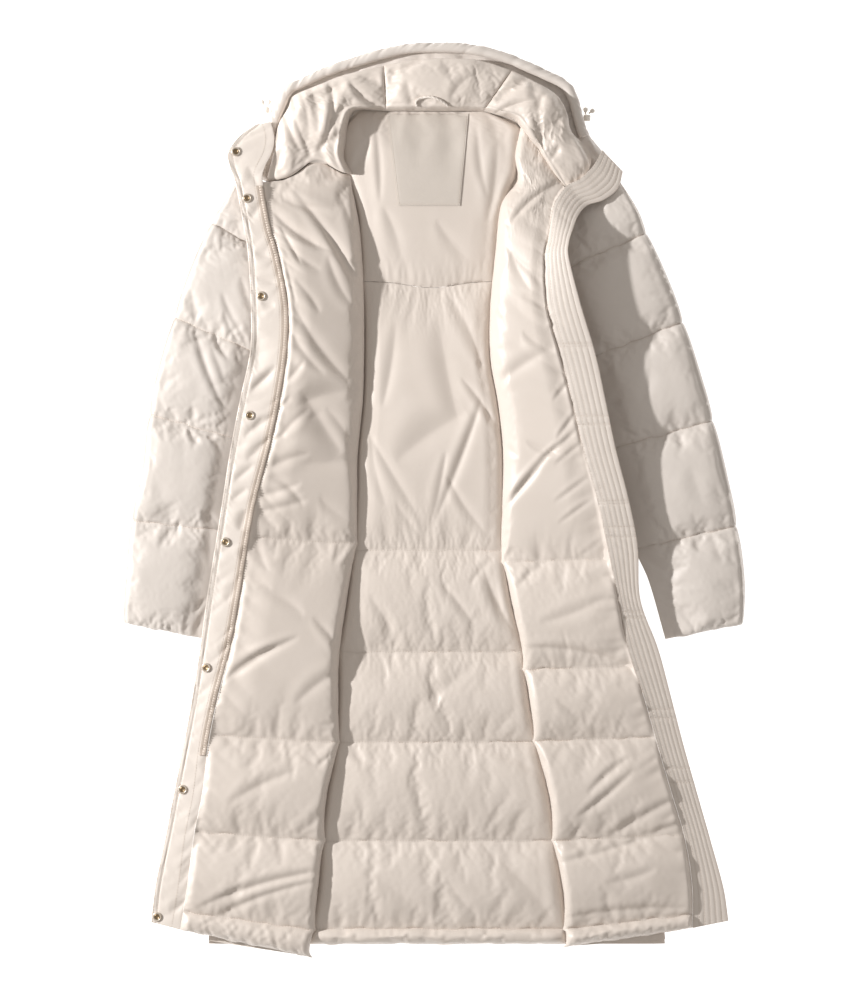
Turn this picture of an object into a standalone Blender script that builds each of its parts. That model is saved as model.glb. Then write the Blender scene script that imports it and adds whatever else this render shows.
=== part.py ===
"""Long hooded puffer coat, laid open on its back on a flat surface.

The coat lies with its lining up: the back panel rests on the surface, each
front runs in from its side seam over the back, turns over at a soft fold and
comes back out, lining up, to its zip placket or its stitched flap. The sleeves
lie beside the body and the hood lies open above the neck.

Every padded piece is one wall: an outer face and an inner face, worked out on
the same grid of stations along the piece and places across it, with the edges
closed between them. Tables are in millimetres, meshes in metres, +Z is up, +Y
runs from the hem to the hood, and "right" and "left" are the wearer's.
"""
import math

import bmesh
import bpy
import numpy as np
from mathutils import Vector
from mathutils.bvhtree import BVHTree

MM = 0.001
SHIFT_X, SHIFT_Y = 1.5, -2.4     # moves the tables' centre to the middle of the whole outline

# ---------------------------------------------------------------- driving sizes (mm)
SEAM_GAP = 0.4                   # clearance between pieces that are sewn together
BACK_COVERED = 12.0              # the back's height where a front presses on it
BACK_CROWN = 24.0                # the back's height between its quilt seams, where it is free
BACK_EDGE = 7.0                  # the back's height at its side seams
FRONT_UNDER = BACK_COVERED + SEAM_GAP
LOWER_LAYER = 9.0                # a front's pressed lower layer
SEAM_EDGE = 5.0                  # a padded wall where it is sewn flat
FOLD_DEPTH = 13.0                # how far the rounding of a front's fold reaches inwards
# How far a front's upper layer rises over its ends, and the share across where its top is.
RIGHT_CROWN, LEFT_CROWN = (6.0, 0.93), (4.0, 0.95)
BACK_TUCK = 3.0                  # how far the free back reaches in under the left fold
FLAP_LEVELLING = 0.6             # the flap rises fast off its seam and levels out
QUILT_PINCH = 0.40               # share of a wall's height that is lost on a quilt seam
PLACKET_WALL = 4.5
PLACKET_CROWN = 0.8              # the snap placket's middle stands proud of its edges
FLAP_WALL = 5.0
FLAP_RIDGES = 6
FLAP_RIDGE_HEIGHT = 1.3
ZIP_WIDTH, ZIP_TAPE, ZIP_TEETH = 9.0, 0.9, 3.2
SLOT_MIDDLE, SLOT_HALF = 12.5, 6.0   # mid height and half height of the room in a sleeve
SLOT_SPAN = (.22, .92)           # that room's reach across the sleeve
HOOD_SHELL_HEIGHT = 16.0
HOOD_UNDER = HOOD_SHELL_HEIGHT + SEAM_GAP
BAND_RADIUS = 7.5
SNAP_RADIUS, SNAP_HEIGHT, SNAP_SOCKET = 6.6, 2.4, 2.6
STATION_PITCH = 46.0             # wished distance between stations along a panel

# ---------------------------------------------------------------- tables (mm)
# Quilt seams: heights along Y at which a panel is stitched through.
BACK_SEAMS = (544, 305, -69, -211, -337, -475, -598, -619)
RIGHT_FRONT_SEAMS = (454, -60, -337, -474, -600, -636)
LEFT_FRONT_SEAMS = (522, -86, -235, -335, -474, -598, -622)

BACK = ("y side_right open_right open_left side_left", (
    (544, -108, -100, 68, 86),
    (524, -139, -122, 114, 122),
    (503, -171, -127, 118, 155),
    (462, -233, -124, 114, 216),
    (436, -229, -114, 104, 200),
    (400, -213, -104, 92, 176),
    (377, -203, -102, 88, 166),
    (335, -196, -98, 83, 161),
    (265, -201, -95, 76, 168),
    (197, -228, -95, 76, 197),
    (137, -250, -97, 87, 217),
    (69, -263, -104, 94, 235),
    (1, -271, -106, 94, 254),
    (-67, -277, -111, 95, 275),
    (-139, -282, -120, 106, 281),
    (-209, -288, -130, 122, 287),
    (-279, -292, -132, 132, 292),
    (-343, -298, -136, 143, 298),
    (-412, -303, -148, 160, 303),
    (-477, -308, -155, 168, 310),
    (-547, -312, -161, 179, 316),
    (-619, -315, -175, 184, 323),
))

FRONT_COLUMNS = ("root_x root_y fold_x fold_y edge_x edge_y outer_x outer_y "
                 "fold_top edge_top outer_top")
RIGHT_FRONT = (FRONT_COLUMNS, (
    (-230, 440, -120, 454, -238, 444, -277, 444, 38, 50, 49),
    (-203, 377, -104, 391, -227, 382, -265, 382, 38, 53, 52),
    (-196, 335, -98, 337, -216, 343, -259, 343, 37, 56, 54),
    (-201, 267, -95, 270, -203, 273, -255, 273, 36, 57, 54),
    (-228, 197, -95, 197, -204, 209, -256, 209, 36, 57, 54),
    (-250, 137, -97, 136, -214, 141, -270, 141, 36, 57, 54),
    (-263, 69, -104, 64, -228, 74, -283, 74, 36, 56, 53),
    (-271, 1, -106, -1, -246, 4, -294, 4, 37, 54, 51),
    (-277, -67, -111, -69, -258, -59, -304, -59, 38, 52, 49),
    (-282, -139, -120, -139, -270, -133, -316, -133, 39, 49, 45),
    (-288, -209, -130, -214, -283, -203, -326, -203, 39, 46, 41),
    (-292, -279, -132, -279, -301, -273, -337, -273, 39, 44, 38),
    (-298, -343, -136, -349, -314, -337, -349, -337, 39, 41, 35),
    (-303, -412, -148, -414, -323, -407, -363, -407, 38, 39, 33),
    (-308, -477, -155, -483, -335, -469, -375, -469, 38, 37, 31),
    (-312, -547, -161, -549, -344, -536, -389, -536, 37, 34, 29),
    (-315, -614, -174, -636, -354, -598, -395, -588, 34, 30, 26),
))
LEFT_FRONT = (FRONT_COLUMNS, (
    (137, 494, 119, 522, 176, 434, 212, 410, 44, 48, 50),
    (148, 461, 113, 484, 168, 416, 200, 396, 47, 55, 62),
    (162, 414, 115, 448, 162, 391, 192, 375, 50, 62, 76),
    (165, 371, 92, 413, 158, 365, 187, 358, 52, 68, 84),
    (161, 332, 83, 343, 153, 335, 187, 336, 54, 72, 88),
    (168, 265, 76, 273, 157, 270, 203, 273, 54, 73, 87),
    (197, 195, 76, 200, 175, 202, 224, 203, 53, 71, 79),
    (217, 137, 87, 134, 191, 139, 238, 139, 50, 70, 77),
    (235, 69, 94, 69, 207, 71, 252, 73, 48, 68, 74),
    (254, 1, 94, -1, 227, 1, 270, 3, 46, 64, 68),
    (275, -67, 95, -69, 241, -63, 283, -63, 44, 59, 60),
    (281, -139, 106, -139, 256, -136, 287, -137, 42, 53, 52),
    (287, -209, 122, -211, 270, -206, 312, -206, 42, 48, 46),
    (292, -279, 132, -281, 293, -276, 331, -276, 42, 43, 40),
    (298, -343, 143, -346, 311, -340, 348, -341, 42, 38, 35),
    (303, -412, 160, -416, 332, -410, 368, -411, 42, 34, 31),
    (310, -477, 168, -482, 350, -472, 386, -474, 41, 30, 28),
    (316, -547, 179, -549, 360, -536, 404, -540, 40, 27, 25),
    (323, -612, 184, -622, 361, -596, 411, -586, 38, 24, 22),
))
# The plackets go on past the neck seam beside the hood's sides.
COLLAR_COLUMNS = "edge_x edge_y outer_x outer_y edge_top outer_top"
RIGHT_COLLAR = (COLLAR_COLUMNS, (
    (-227, 528, -249, 525, 37, 34),
    (-222, 505, -272, 508, 40, 38),
    (-226, 484, -287, 486, 44, 43),
    (-236, 463, -284, 463, 49, 47),
))
LEFT_COLLAR = (COLLAR_COLUMNS, (
    (234, 489, 263, 459, 43, 38),
    (222, 468, 256, 435, 45, 42),
    (203, 449, 236, 419, 47, 46),
))

SLEEVE_COLUMNS = "outer_x outer_y inner_x inner_y crown"
SLEEVE_SEAMS = (0, 3, 5, 7, 9, 11)          # table rows that carry a quilt seam
RIGHT_SLEEVE = (SLEEVE_COLUMNS, (
    (-263, 459, -248, 462, 22),
    (-281, 440, -225, 421, 30),
    (-298, 414, -204, 374, 38),
    (-315, 391, -198, 326, 44),
    (-342, 330, -205, 259, 45),
    (-368, 259, -231, 199, 46),
    (-388, 186, -253, 137, 46),
    (-403, 122, -265, 84, 46),
    (-410, 49, -276, 20, 46),
    (-427, -27, -288, -42, 46),
    (-433, -104, -300, -122, 46),
    (-438, -169, -318, -193, 44),
))
LEFT_SLEEVE = (SLEEVE_COLUMNS, (
    (252, 459, 232, 464, 22),
    (266, 438, 194, 421, 34),
    (286, 405, 169, 374, 41),
    (300, 375, 163, 316, 43),
    (328, 309, 174, 253, 44),
    (351, 251, 199.4, 192, 44),
    (372, 181, 221, 133, 44),
    (393, 113, 238, 70, 44),
    (410, 36, 258, 1, 44),
    (426, -34, 280, -67, 44),
    (434, -108, 300, -113, 44),
    (435, -171, 323, -193, 42),
))
# A sleeve's upper face: place across from the armhole side, share of its crown height.
SLEEVE_TOP = ((0, .52), (.10, .58), (.20, .69), (.32, .81), (.50, .91), (.70, .97),
              (.86, 1.0), (.95, .96), (.985, .80), (1.0, .42))

HOOD_COLUMNS = "inner_x inner_y outer_x outer_y crown"
HOOD_SEAMS = (0, 7, 12, 19)                 # side, centre and side panels meet at these rows
HOOD = (HOOD_COLUMNS, (
    (-121, 456, -232, 450, 48),
    (-130, 477, -223, 488, 50),
    (-128, 505, -217, 523, 52),
    (-125, 525, -203, 548, 52),
    (-118, 543, -196, 564, 50),
    (-104, 548, -168, 577, 48),
    (-87, 548, -123, 594, 44),
    (-67, 548, -70, 607, 40),
    (-34, 548, -31, 614, 42),
    (0, 548, 8, 617, 42),
    (29, 548, 48, 616, 42),
    (52, 548, 73, 612, 40),
    (71, 547, 108, 600, 44),
    (92, 541, 143, 583, 48),
    (113, 535, 168, 568, 50),
    (124, 523, 179, 554, 52),
    (138, 504, 186, 538, 52),
    (152, 482, 192, 514, 50),
    (163, 464, 217, 485, 50),
    (179, 438, 209, 459, 46),
))
# A hood panel's upper face: place from the neck seam to the rim, share of its crown height.
HOOD_TOP = ((0, .70), (.12, .90), (.35, 1.0), (.65, 1.0), (.88, .94), (1.0, .74))
HOOD_SHELL = ("inner_x inner_y outer_x outer_y", (
    (-236, 466, -262, 488),
    (-205, 487, -248, 515),
    (-172, 508, -234, 533),
    (-140, 530, -219, 564),
    (-107, 545.6, -188, 589),
    (-70, 544.6, -127, 616),
    (-20, 544.6, -50, 637),
    (30, 544.6, 44, 638),
    (86, 547, 127, 615),
    (124, 529, 189, 582),
    (156, 508, 203, 556),
    (184, 490, 213, 520),
    (219, 466, 240, 482),
))
BAND_ROUTE = ((-229, 512), (-222, 532), (-214, 553), (-203, 574), (-186, 583), (-157, 597),
              (-123, 609), (-90, 619), (-60, 627), (-33, 632), (8, 633), (49, 631), (97, 620),
              (151, 597), (182, 581), (194, 562), (200, 540), (205, 522), (210, 509))
SNAPS = ((-276, 486), (-260, 421), (-240, 285), (-256, 119), (-290, -57), (-317, -232),
         (-350, -402), (-386, -580))
ZIP_TOP, ZIP_END = 440.0, -356.0            # the zip chain ends well above the hem

# The largest folds: line from (x, y) to (x, y), half width and depth.
FOLD_COLUMNS = "x0 y0 x1 y1 half_width depth"
BACK_FOLDS = (FOLD_COLUMNS, (
    (-8, 215, 66, 150, 22, 5), (0, 72, 92, 64, 18, 5), (-105, -355, 15, -300, 26, 6),
    (90, -530, 168, -480, 24, 6), (60, 400, -20, 330, 22, 4), (-70, 250, -88, 120, 16, 4),
    (-40, -110, 40, -170, 22, 5),
))
RIGHT_FOLDS = (FOLD_COLUMNS, (
    (-200, 430, -110, 380, 18, 5), (-195, 300, -100, 250, 20, 4), (-285, -248, -210, -200, 18, 5),
    (-240, -100, -130, -190, 20, 5), (-310, -560, -190, -600, 20, 4),
))
LEFT_FOLDS = (FOLD_COLUMNS, (
    (90, 190, 150, 260, 18, 5), (180, -360, 280, -430, 22, 6), (120, 60, 200, 20, 18, 4),
    (140, -120, 240, -180, 20, 5), (150, 420, 120, 480, 16, 4),
))
LABEL_TOP, LABEL_BOTTOM = (-66, 48, 541), (-50, 36, 412)      # x from, x to, y
LABEL_WALL = 0.9
LABEL_LIFT = 0.6                 # the patch bridges the panel's facets
LOOP_ROUTE = ((-24, 549.5), (-25, 556), (-18, 561), (-4, 562), (10, 557), (20, 549.5))
LOOP_RADIUS = 2.0
# Each cord lock: its place, and where its two cord ends point.
LOCKS = {"right": ((-235.2, 547), ((-243, 562), (-229, 564))),
         "left": ((214, 536), ((212, 553), (228, 549)))}
LOCK_RADIUS, LOCK_LENGTH, LOCK_FLOOR = 5.0, 9.0, 1.0
CORD_SPREAD = 2.2                # the two cord ends leave the lock this far from its axis
CORD_END = ((0, 0), (1.3, 0), (1.3, 3.2), (3.3, 5.4), (3.0, 8.8), (0, 9.8))


# ---------------------------------------------------------------- small tools
class Table:
    """Rows with named columns, read at any position between rows on smooth curves."""

    def __init__(self, source):
        names, rows = source
        self.names = names.split()
        self.rows = np.array(rows, dtype=float)

    def __getattr__(self, name):
        return self.rows[:, self.names.index(name)]

    def last(self):
        """Position of the last row."""
        return len(self.rows) - 1

    def at(self, positions):
        """Columns at the positions, by Catmull-Rom curves through the rows."""
        positions = np.clip(np.asarray(positions, dtype=float), 0, self.last())
        base = np.minimum(positions.astype(int), self.last() - 1)
        t = (positions - base)[:, None]
        padded = np.vstack((2 * self.rows[0] - self.rows[1], self.rows,
                            2 * self.rows[-1] - self.rows[-2]))
        before, start, end, after = (padded[base + step] for step in range(4))
        curve = (2 * start + (end - before) * t
                 + (2 * before - 5 * start + 4 * end - after) * t ** 2
                 + (3 * start - before - 3 * end + after) * t ** 3) / 2
        return {name: curve[:, index] for index, name in enumerate(self.names)}

    def find(self, name, value):
        """Position at which a falling column takes the value."""
        column = self.rows[:, self.names.index(name)]
        return float(np.interp(-value, -column, np.arange(len(column))))


def stations(seams, pitch):
    """Positions along a piece, closer near its seams, and each one's puff from 0 to 1.

    seams are positions with the length between two of them in pitches; a bay of
    n steps has its stations at half-cosine spacing and its puff is a root of a sine.
    """
    places, puffs = [], []
    for (start, _), (end, length) in zip(seams[:-1], seams[1:]):
        steps = max(2, round(length / pitch))
        for step in range(steps):
            share = 0.5 - 0.5 * math.cos(math.pi * step / steps)
            places.append(start + (end - start) * share)
            puffs.append(math.sin(math.pi * share) ** 0.5)
    places.append(seams[-1][0])
    puffs.append(0.0)
    return np.array(places), np.array(puffs)


def seam_positions(table, column, heights):
    """Quilt seams given by their heights, as table positions with the bay before each."""
    heights = list(heights)
    bays = [0.0] + [abs(a - b) for a, b in zip(heights[:-1], heights[1:])]
    return [(table.find(column, height), bay) for height, bay in zip(heights, bays)]


def fold_depth(source, x, y):
    """Depth of the soft folds at each (x, y): a bell across each line, fading at its ends."""
    folds = Table(source)
    depth = np.zeros_like(x)
    for x0, y0, x1, y1, half_width, deepest in folds.rows:
        along = np.array((x1 - x0, y1 - y0))
        length = np.hypot(*along)
        share = ((x - x0) * along[0] + (y - y0) * along[1]) / length ** 2
        aside = ((x - x0) * along[1] - (y - y0) * along[0]) / length
        fade = np.exp(-np.maximum(np.abs(share - 0.5) - 0.4, 0) ** 2 / 0.04)
        depth += deepest * fade * np.exp(-(aside / half_width) ** 2)
    return depth


def grid(x, y, z):
    """Stack coordinates into a grid of points, in metres about the part's origin."""
    x, y, z = np.broadcast_arrays(x + SHIFT_X, y + SHIFT_Y, z)
    return np.stack((x, y, z), axis=-1) * MM


def material(name, colour, roughness, metallic=0.0):
    """Principled material of one piece."""
    made = bpy.data.materials.new(name)
    made.use_nodes = True
    shader = made.node_tree.nodes["Principled BSDF"]
    shader.inputs["Base Color"].default_value = (*colour, 1.0)
    shader.inputs["Roughness"].default_value = roughness
    shader.inputs["Metallic"].default_value = metallic
    return made


def add_object(name, data, look):
    """Link data as the named node with its material and smooth shading."""
    piece = bpy.data.objects.new(name, data)
    data.materials.append(look)
    coat.objects.link(piece)
    if isinstance(data, bpy.types.Mesh):
        data.shade_smooth()
        data.set_sharp_from_angle(angle=math.radians(50))
    return piece


def wall(name, look, outer, inner, tube=False):
    """One closed wall between an outer and an inner grid (stations x places x 3).

    A tube's places run on round it, so it is closed only at its two ends.
    """
    rows, places = outer.shape[:2]
    mesh = bmesh.new()
    faces = [[[mesh.verts.new(point) for point in row] for row in side] for side in (outer, inner)]
    top, under = faces
    spans = range(places if tube else places - 1)
    for row in range(rows - 1):
        for place in spans:
            beside = (place + 1) % places
            mesh.faces.new((top[row][place], top[row + 1][place],
                            top[row + 1][beside], top[row][beside]))
            mesh.faces.new((under[row][place], under[row][beside],
                            under[row + 1][beside], under[row + 1][place]))
    for row in (0, rows - 1):
        for place in spans:
            beside = (place + 1) % places
            mesh.faces.new((top[row][place], top[row][beside],
                            under[row][beside], under[row][place]))
    if not tube:
        for place in (0, places - 1):
            for row in range(rows - 1):
                mesh.faces.new((top[row][place], top[row + 1][place],
                                under[row + 1][place], under[row][place]))
    bmesh.ops.triangulate(mesh, faces=mesh.faces, quad_method="SHORT_EDGE")
    bmesh.ops.recalc_face_normals(mesh, faces=mesh.faces)
    data = bpy.data.meshes.new(name)
    mesh.to_mesh(data)
    mesh.free()
    return add_object(name, data, look)


def tube_curve(name, look, points, radius, resolution=2):
    """Round cord along points (metres) with filled ends."""
    data = bpy.data.curves.new(name, "CURVE")
    data.dimensions = "3D"
    data.bevel_depth = radius * MM
    data.bevel_resolution = resolution
    data.use_fill_caps = True
    spline = data.splines.new("POLY")
    spline.points.add(len(points) - 1)
    for place, point in zip(spline.points, points):
        place.co = (*point, 1.0)
    return add_object(name, data, look)


def smooth_route(points, count):
    """Catmull-Rom route through plan points (mm), read at equal steps."""
    route = Table(("x y", points)).at(np.linspace(0, len(points) - 1, count))
    return route["x"], route["y"]


def surface(*pieces):
    """Search tree over the finished faces of the pieces."""
    bpy.context.view_layer.update()
    depsgraph = bpy.context.evaluated_depsgraph_get()
    whole = bmesh.new()
    for piece in pieces:
        whole.from_mesh(piece.evaluated_get(depsgraph).to_mesh())
    tree = BVHTree.FromBMesh(whole)
    whole.free()
    return tree


def drop(tree, x, y):
    """Top of the surface at a plan point (mm): its place in metres and its normal."""
    start = Vector(((x + SHIFT_X) * MM, (y + SHIFT_Y) * MM, 1.0))
    place, normal, _, _ = tree.ray_cast(start, Vector((0, 0, -1)))
    return place, normal


def seat(tree, x, y, reach):
    """Place and normal at a plan point, lifted clear of the surface all round it."""
    place, normal = drop(tree, x, y)
    lift = 0.0
    for turn in np.linspace(0, 2 * math.pi, 8, endpoint=False):
        beside, _ = drop(tree, x + reach * math.cos(turn), y + reach * math.sin(turn))
        if beside is not None:
            lift = max(lift, (beside - place).dot(normal))
    return place + normal * (lift + SEAM_GAP * MM), normal


# ---------------------------------------------------------------- body panels
def back_panel(name, seams, look):
    """Back between its side seams: flat underside, free middle crowned between quilt seams."""
    table = Table(BACK)
    places, puff = stations(seam_positions(table, "y", seams), STATION_PITCH)
    rows = {key: value[:, None] for key, value in table.at(places).items()}
    puff = puff[:, None]
    open_left = rows["open_left"] + BACK_TUCK
    side = np.array((0, .12, .5, .86))
    middle = np.array((0, .06, .18, .34, .5, .66, .82, .94, 1))
    x = np.hstack((rows["side_right"] + (rows["open_right"] - rows["side_right"]) * side,
                   rows["open_right"] + (open_left - rows["open_right"]) * middle,
                   rows["side_left"] + (open_left - rows["side_left"]) * side[::-1]))
    y = rows["y"] + 0 * x
    crown = np.array((0, .75, .90, 1, 1, 1, 1.06, 1.12, 0))
    free = BACK_COVERED + (BACK_CROWN - BACK_COVERED) * crown * (0.25 + 0.75 * puff)
    covered = BACK_COVERED * np.array((BACK_EDGE / BACK_COVERED, 1, 1, 1)) + 0 * puff
    z = np.hstack((covered, free, covered[:, ::-1]))
    sunk = fold_depth(BACK_FOLDS, x, y) * puff
    sunk[:, :5] = 0
    sunk[:, -5:] = 0
    return wall(name, look, grid(x, y, z - sunk), grid(x, y, 0 * x))


def front_grids(source, seams, folds, shape):
    """Lining face and shell face of a front, and its station rows.

    Across, each face runs along the lower layer from the side seam to the fold,
    round the fold on an ellipse, and back along the upper layer to its edge.
    """
    table = Table(source)
    places, puff = stations(seam_positions(table, "fold_y", seams), STATION_PITCH)
    rows = table.at(places)
    puff = puff[:, None]
    root = np.stack((rows["root_x"], rows["root_y"]), axis=-1)[:, None]
    fold = np.stack((rows["fold_x"], rows["fold_y"]), axis=-1)[:, None]
    edge = np.stack((rows["edge_x"], rows["edge_y"]), axis=-1)[:, None]
    inward = fold - (root + edge) / 2
    inward /= np.linalg.norm(inward, axis=-1, keepdims=True)
    reach = np.minimum(FOLD_DEPTH, 0.35 * np.linalg.norm(fold - root, axis=-1, keepdims=True))
    centre = fold - inward * reach

    lower = np.array((0, .1, .4, .75))[:, None]
    turn = np.radians((-90, -52, -18, 18, 52, 90))
    upper = np.array((.08, .22, .38, .54, .70, .84, .95, 1))[:, None]
    lower_plan = root + (centre - root) * lower
    upper_plan = centre + (edge - centre) * upper
    outer_turn = centre + inward * reach * np.cos(turn)[:, None]
    inner_turn = centre + inward * 0.16 * reach * np.cos(turn)[:, None]

    pinch = 1 - QUILT_PINCH * (1 - puff)
    fold_top = FRONT_UNDER + (rows["fold_top"][:, None] - FRONT_UNDER) * pinch
    edge_top = rows["edge_top"][:, None]
    low, high = lower.T, upper.T
    lower_height = SEAM_EDGE + (LOWER_LAYER - SEAM_EDGE) * np.sin(np.pi / 2 * np.minimum(low * 3, 1))
    crease = FRONT_UNDER + LOWER_LAYER + 0.6
    outer_mid, outer_half = (fold_top + FRONT_UNDER) / 2, (fold_top - FRONT_UNDER) / 2
    rise, crest = shape
    top = np.maximum((rows["fold_top"][:, None] + edge_top) / 2, edge_top) + rise
    top = FRONT_UNDER + (top - FRONT_UNDER) * (0.4 + 0.6 * pinch)
    width = np.linalg.norm(edge - centre, axis=-1)
    span = reach[:, 0] + crest * width
    turned_in = reach[:, 0] * (1 - np.cos(turn)) * (turn > 0)
    climb = np.clip((reach[:, 0] + width * high) / span, 0, 1)
    after = np.clip((reach[:, 0] + width * high - span) / (reach[:, 0] + width - span), 0, 1)
    nose = outer_mid + outer_half * np.sin(turn) + (top - fold_top) * turned_in / span
    top = np.where(after > 0, edge_top + (top - edge_top) * np.cos(np.pi / 2 * after ** 1.4),
                   fold_top + (top - fold_top) * climb)
    plan = np.broadcast_to(upper_plan, (len(places), len(upper), 2))
    top = top - fold_depth(folds, plan[..., 0], plan[..., 1]) * puff
    under = crease + 0.8 + (edge_top - SEAM_EDGE - crease - 0.8) * high ** 3

    zeros = 0 * puff
    lining_z = np.hstack((FRONT_UNDER + 0 * low + zeros, nose, top))
    shell_z = np.hstack((FRONT_UNDER + lower_height + zeros,
                         crease + 0.5 * np.sin(turn) + zeros, under))
    lining = np.concatenate((lower_plan, outer_turn, upper_plan), axis=1)
    shell = np.concatenate((lower_plan, inner_turn, upper_plan), axis=1)
    return (grid(lining[..., 0], lining[..., 1], lining_z),
            grid(shell[..., 0], shell[..., 1], shell_z), rows)


def placket_rows(front_rows, collar):
    """Edge, outer edge and heights of a placket: the collar's rows, then the front's stations."""
    above = Table(collar).at(np.linspace(0, len(collar[1]) - 1, 2 * len(collar[1]) - 1))
    return {name: np.concatenate((above[name], front_rows[name]))[:, None] for name in above}


def strip(name, look, rows, across, relief, thickness, levelling=1.0):
    """Band sewn along a front's edge, with a relief in its upper points."""
    width = np.hypot(rows["outer_x"] - rows["edge_x"], rows["outer_y"] - rows["edge_y"])
    share = across + (1 - across) * SEAM_GAP / width
    x = rows["edge_x"] + (rows["outer_x"] - rows["edge_x"]) * share
    y = rows["edge_y"] + (rows["outer_y"] - rows["edge_y"]) * share
    base = rows["edge_top"] + (rows["outer_top"] - rows["edge_top"]) * share ** levelling
    return wall(name, look, grid(x, y, base + relief), grid(x, y, base - thickness))


def zip_half(look, rows):
    """Zip tape with its chain, lying on the placket's inner margin."""
    keep = (rows["edge_y"] < ZIP_TOP) & (rows["edge_y"] > ZIP_END)
    rows = {name: column[keep][:, None] for name, column in rows.items()}
    width = np.hypot(rows["outer_x"] - rows["edge_x"], rows["outer_y"] - rows["edge_y"])
    share = (1.0 + ZIP_WIDTH * np.array((0, .25, .5, 1))) / width
    x = rows["edge_x"] + (rows["outer_x"] - rows["edge_x"]) * share
    y = rows["edge_y"] + (rows["outer_y"] - rows["edge_y"]) * share
    base = rows["edge_top"] + (rows["outer_top"] - rows["edge_top"]) * share
    base = base + PLACKET_CROWN + SEAM_GAP
    chain = np.array((ZIP_TEETH, ZIP_TEETH, ZIP_TAPE, ZIP_TAPE))
    return wall("zip_half", look, grid(x, y, base + chain), grid(x, y, base))


# ---------------------------------------------------------------- sleeves
def sleeve(name, look, source):
    """Tube of two layers: flat below, crowned between quilt seams above, open at both ends."""
    table = Table(source)
    lengths = np.hypot(np.diff(table.outer_x + table.inner_x),
                       np.diff(table.outer_y + table.inner_y)) / 2
    seams = [(seam, lengths[before:seam].sum())
             for before, seam in zip((0,) + SLEEVE_SEAMS, SLEEVE_SEAMS)]
    places, puff = stations(seams, STATION_PITCH)
    rows = {key: value[:, None] for key, value in table.at(places).items()}
    crown = rows["crown"] * (1 - QUILT_PINCH * (1 - puff[:, None]))
    across, share = np.array(SLEEVE_TOP).T
    under = np.array((.985, .90, .68, .45, .22, .03))
    under_z = np.array((.12, 0, 0, 0, 0, 0))
    around = np.concatenate((across, under))
    z = crown * np.concatenate((share, under_z))
    first, last = SLOT_SPAN
    inside = first + (last - first) * around
    seam_crown = (1 - QUILT_PINCH) * rows["crown"]
    middle = np.minimum(SLOT_MIDDLE, 0.5 * seam_crown * np.interp(inside, across, share))
    half = np.minimum(SLOT_HALF, 0.25 * seam_crown)
    half = half * (0.05 + 0.95 * np.sin(np.pi * (0.03 + 0.94 * around)) ** 0.7)
    side = np.concatenate((np.ones(len(across)), -np.ones(len(under))))
    return wall(name, look, plan_grid(rows, around, z),
                plan_grid(rows, inside, middle + side * half), tube=True)


def plan_grid(rows, share, z):
    """Grid from each row's inner point to its outer point, by share, at height z."""
    x = rows["inner_x"] + (rows["outer_x"] - rows["inner_x"]) * share
    y = rows["inner_y"] + (rows["outer_y"] - rows["inner_y"]) * share
    return grid(x, y, z)


# ---------------------------------------------------------------- hood
def hood_panel(name, look, first, last):
    """Padded hood panel between two of the hood's seams, from the neck seam to the rim."""
    table = Table(HOOD)
    gap = 0.012
    steps = max(4, round(1.4 * (last - first)))
    share = np.linspace(0, 1, steps + 1)
    places = first + gap + (last - first - 2 * gap) * share
    rows = {key: value[:, None] for key, value in table.at(places).items()}
    puff = (np.sin(np.pi * (0.04 + 0.92 * share)) ** 0.4)[:, None]
    across, height = np.array(HOOD_TOP).T
    z = HOOD_UNDER + (rows["crown"] - HOOD_UNDER) * height * (0.55 + 0.45 * puff)
    return wall(name, look, plan_grid(rows, across, z), plan_grid(rows, across, HOOD_UNDER + 0 * z))


def hood_shell(look):
    """The hood's hidden outer layers: one rounded crescent on the floor beyond the neck seam."""
    table = Table(HOOD_SHELL)
    rows = {key: value[:, None] for key, value in table.at(np.linspace(0, table.last(), 20)).items()}
    across = np.array((0, .35, .75, .93, 1))
    height = HOOD_SHELL_HEIGHT * np.array((.9, 1, 1, .85, .4))
    return wall("hood_shell", look, plan_grid(rows, across, height + 0 * rows["inner_x"]),
                plan_grid(rows, across, 0 * across + 0 * rows["inner_x"]))


def hood_band(look):
    """Gathered cord channel along the hood's opening."""
    x, y = smooth_route(BAND_ROUTE, 32)
    return tube_curve("hood_band", look, grid(x, y, HOOD_UNDER + BAND_RADIUS), BAND_RADIUS)


# ---------------------------------------------------------------- trims
def label_patch(look, back):
    """Bare sewn patch under the back neck seam, made from the back's surface moved out."""
    tree = surface(back)
    columns, lines = 7, 12
    points = np.zeros((lines, columns, 3))
    for line in range(lines):
        share = line / (lines - 1)
        start, end, y = (top + (bottom - top) * share for top, bottom in zip(LABEL_TOP, LABEL_BOTTOM))
        for column in range(columns):
            x = start + (end - start) * column / (columns - 1)
            points[line, column] = drop(tree, x, y)[0]
    points[..., 2] += LABEL_LIFT * MM
    return wall("label_patch", look, points + (0, 0, LABEL_WALL * MM), points)


def hanger_loop(look, hood_centre):
    """Small cord loop at the back neck, lying on the hood's centre panel."""
    tree = surface(hood_centre)
    x, y = smooth_route(LOOP_ROUTE, 16)
    points = [drop(tree, *place)[0] + Vector((0, 0, (LOOP_RADIUS + 0.5) * MM)) for place in zip(x, y)]
    return tube_curve("hanger_loop", look, points, LOOP_RADIUS, resolution=1)


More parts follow.
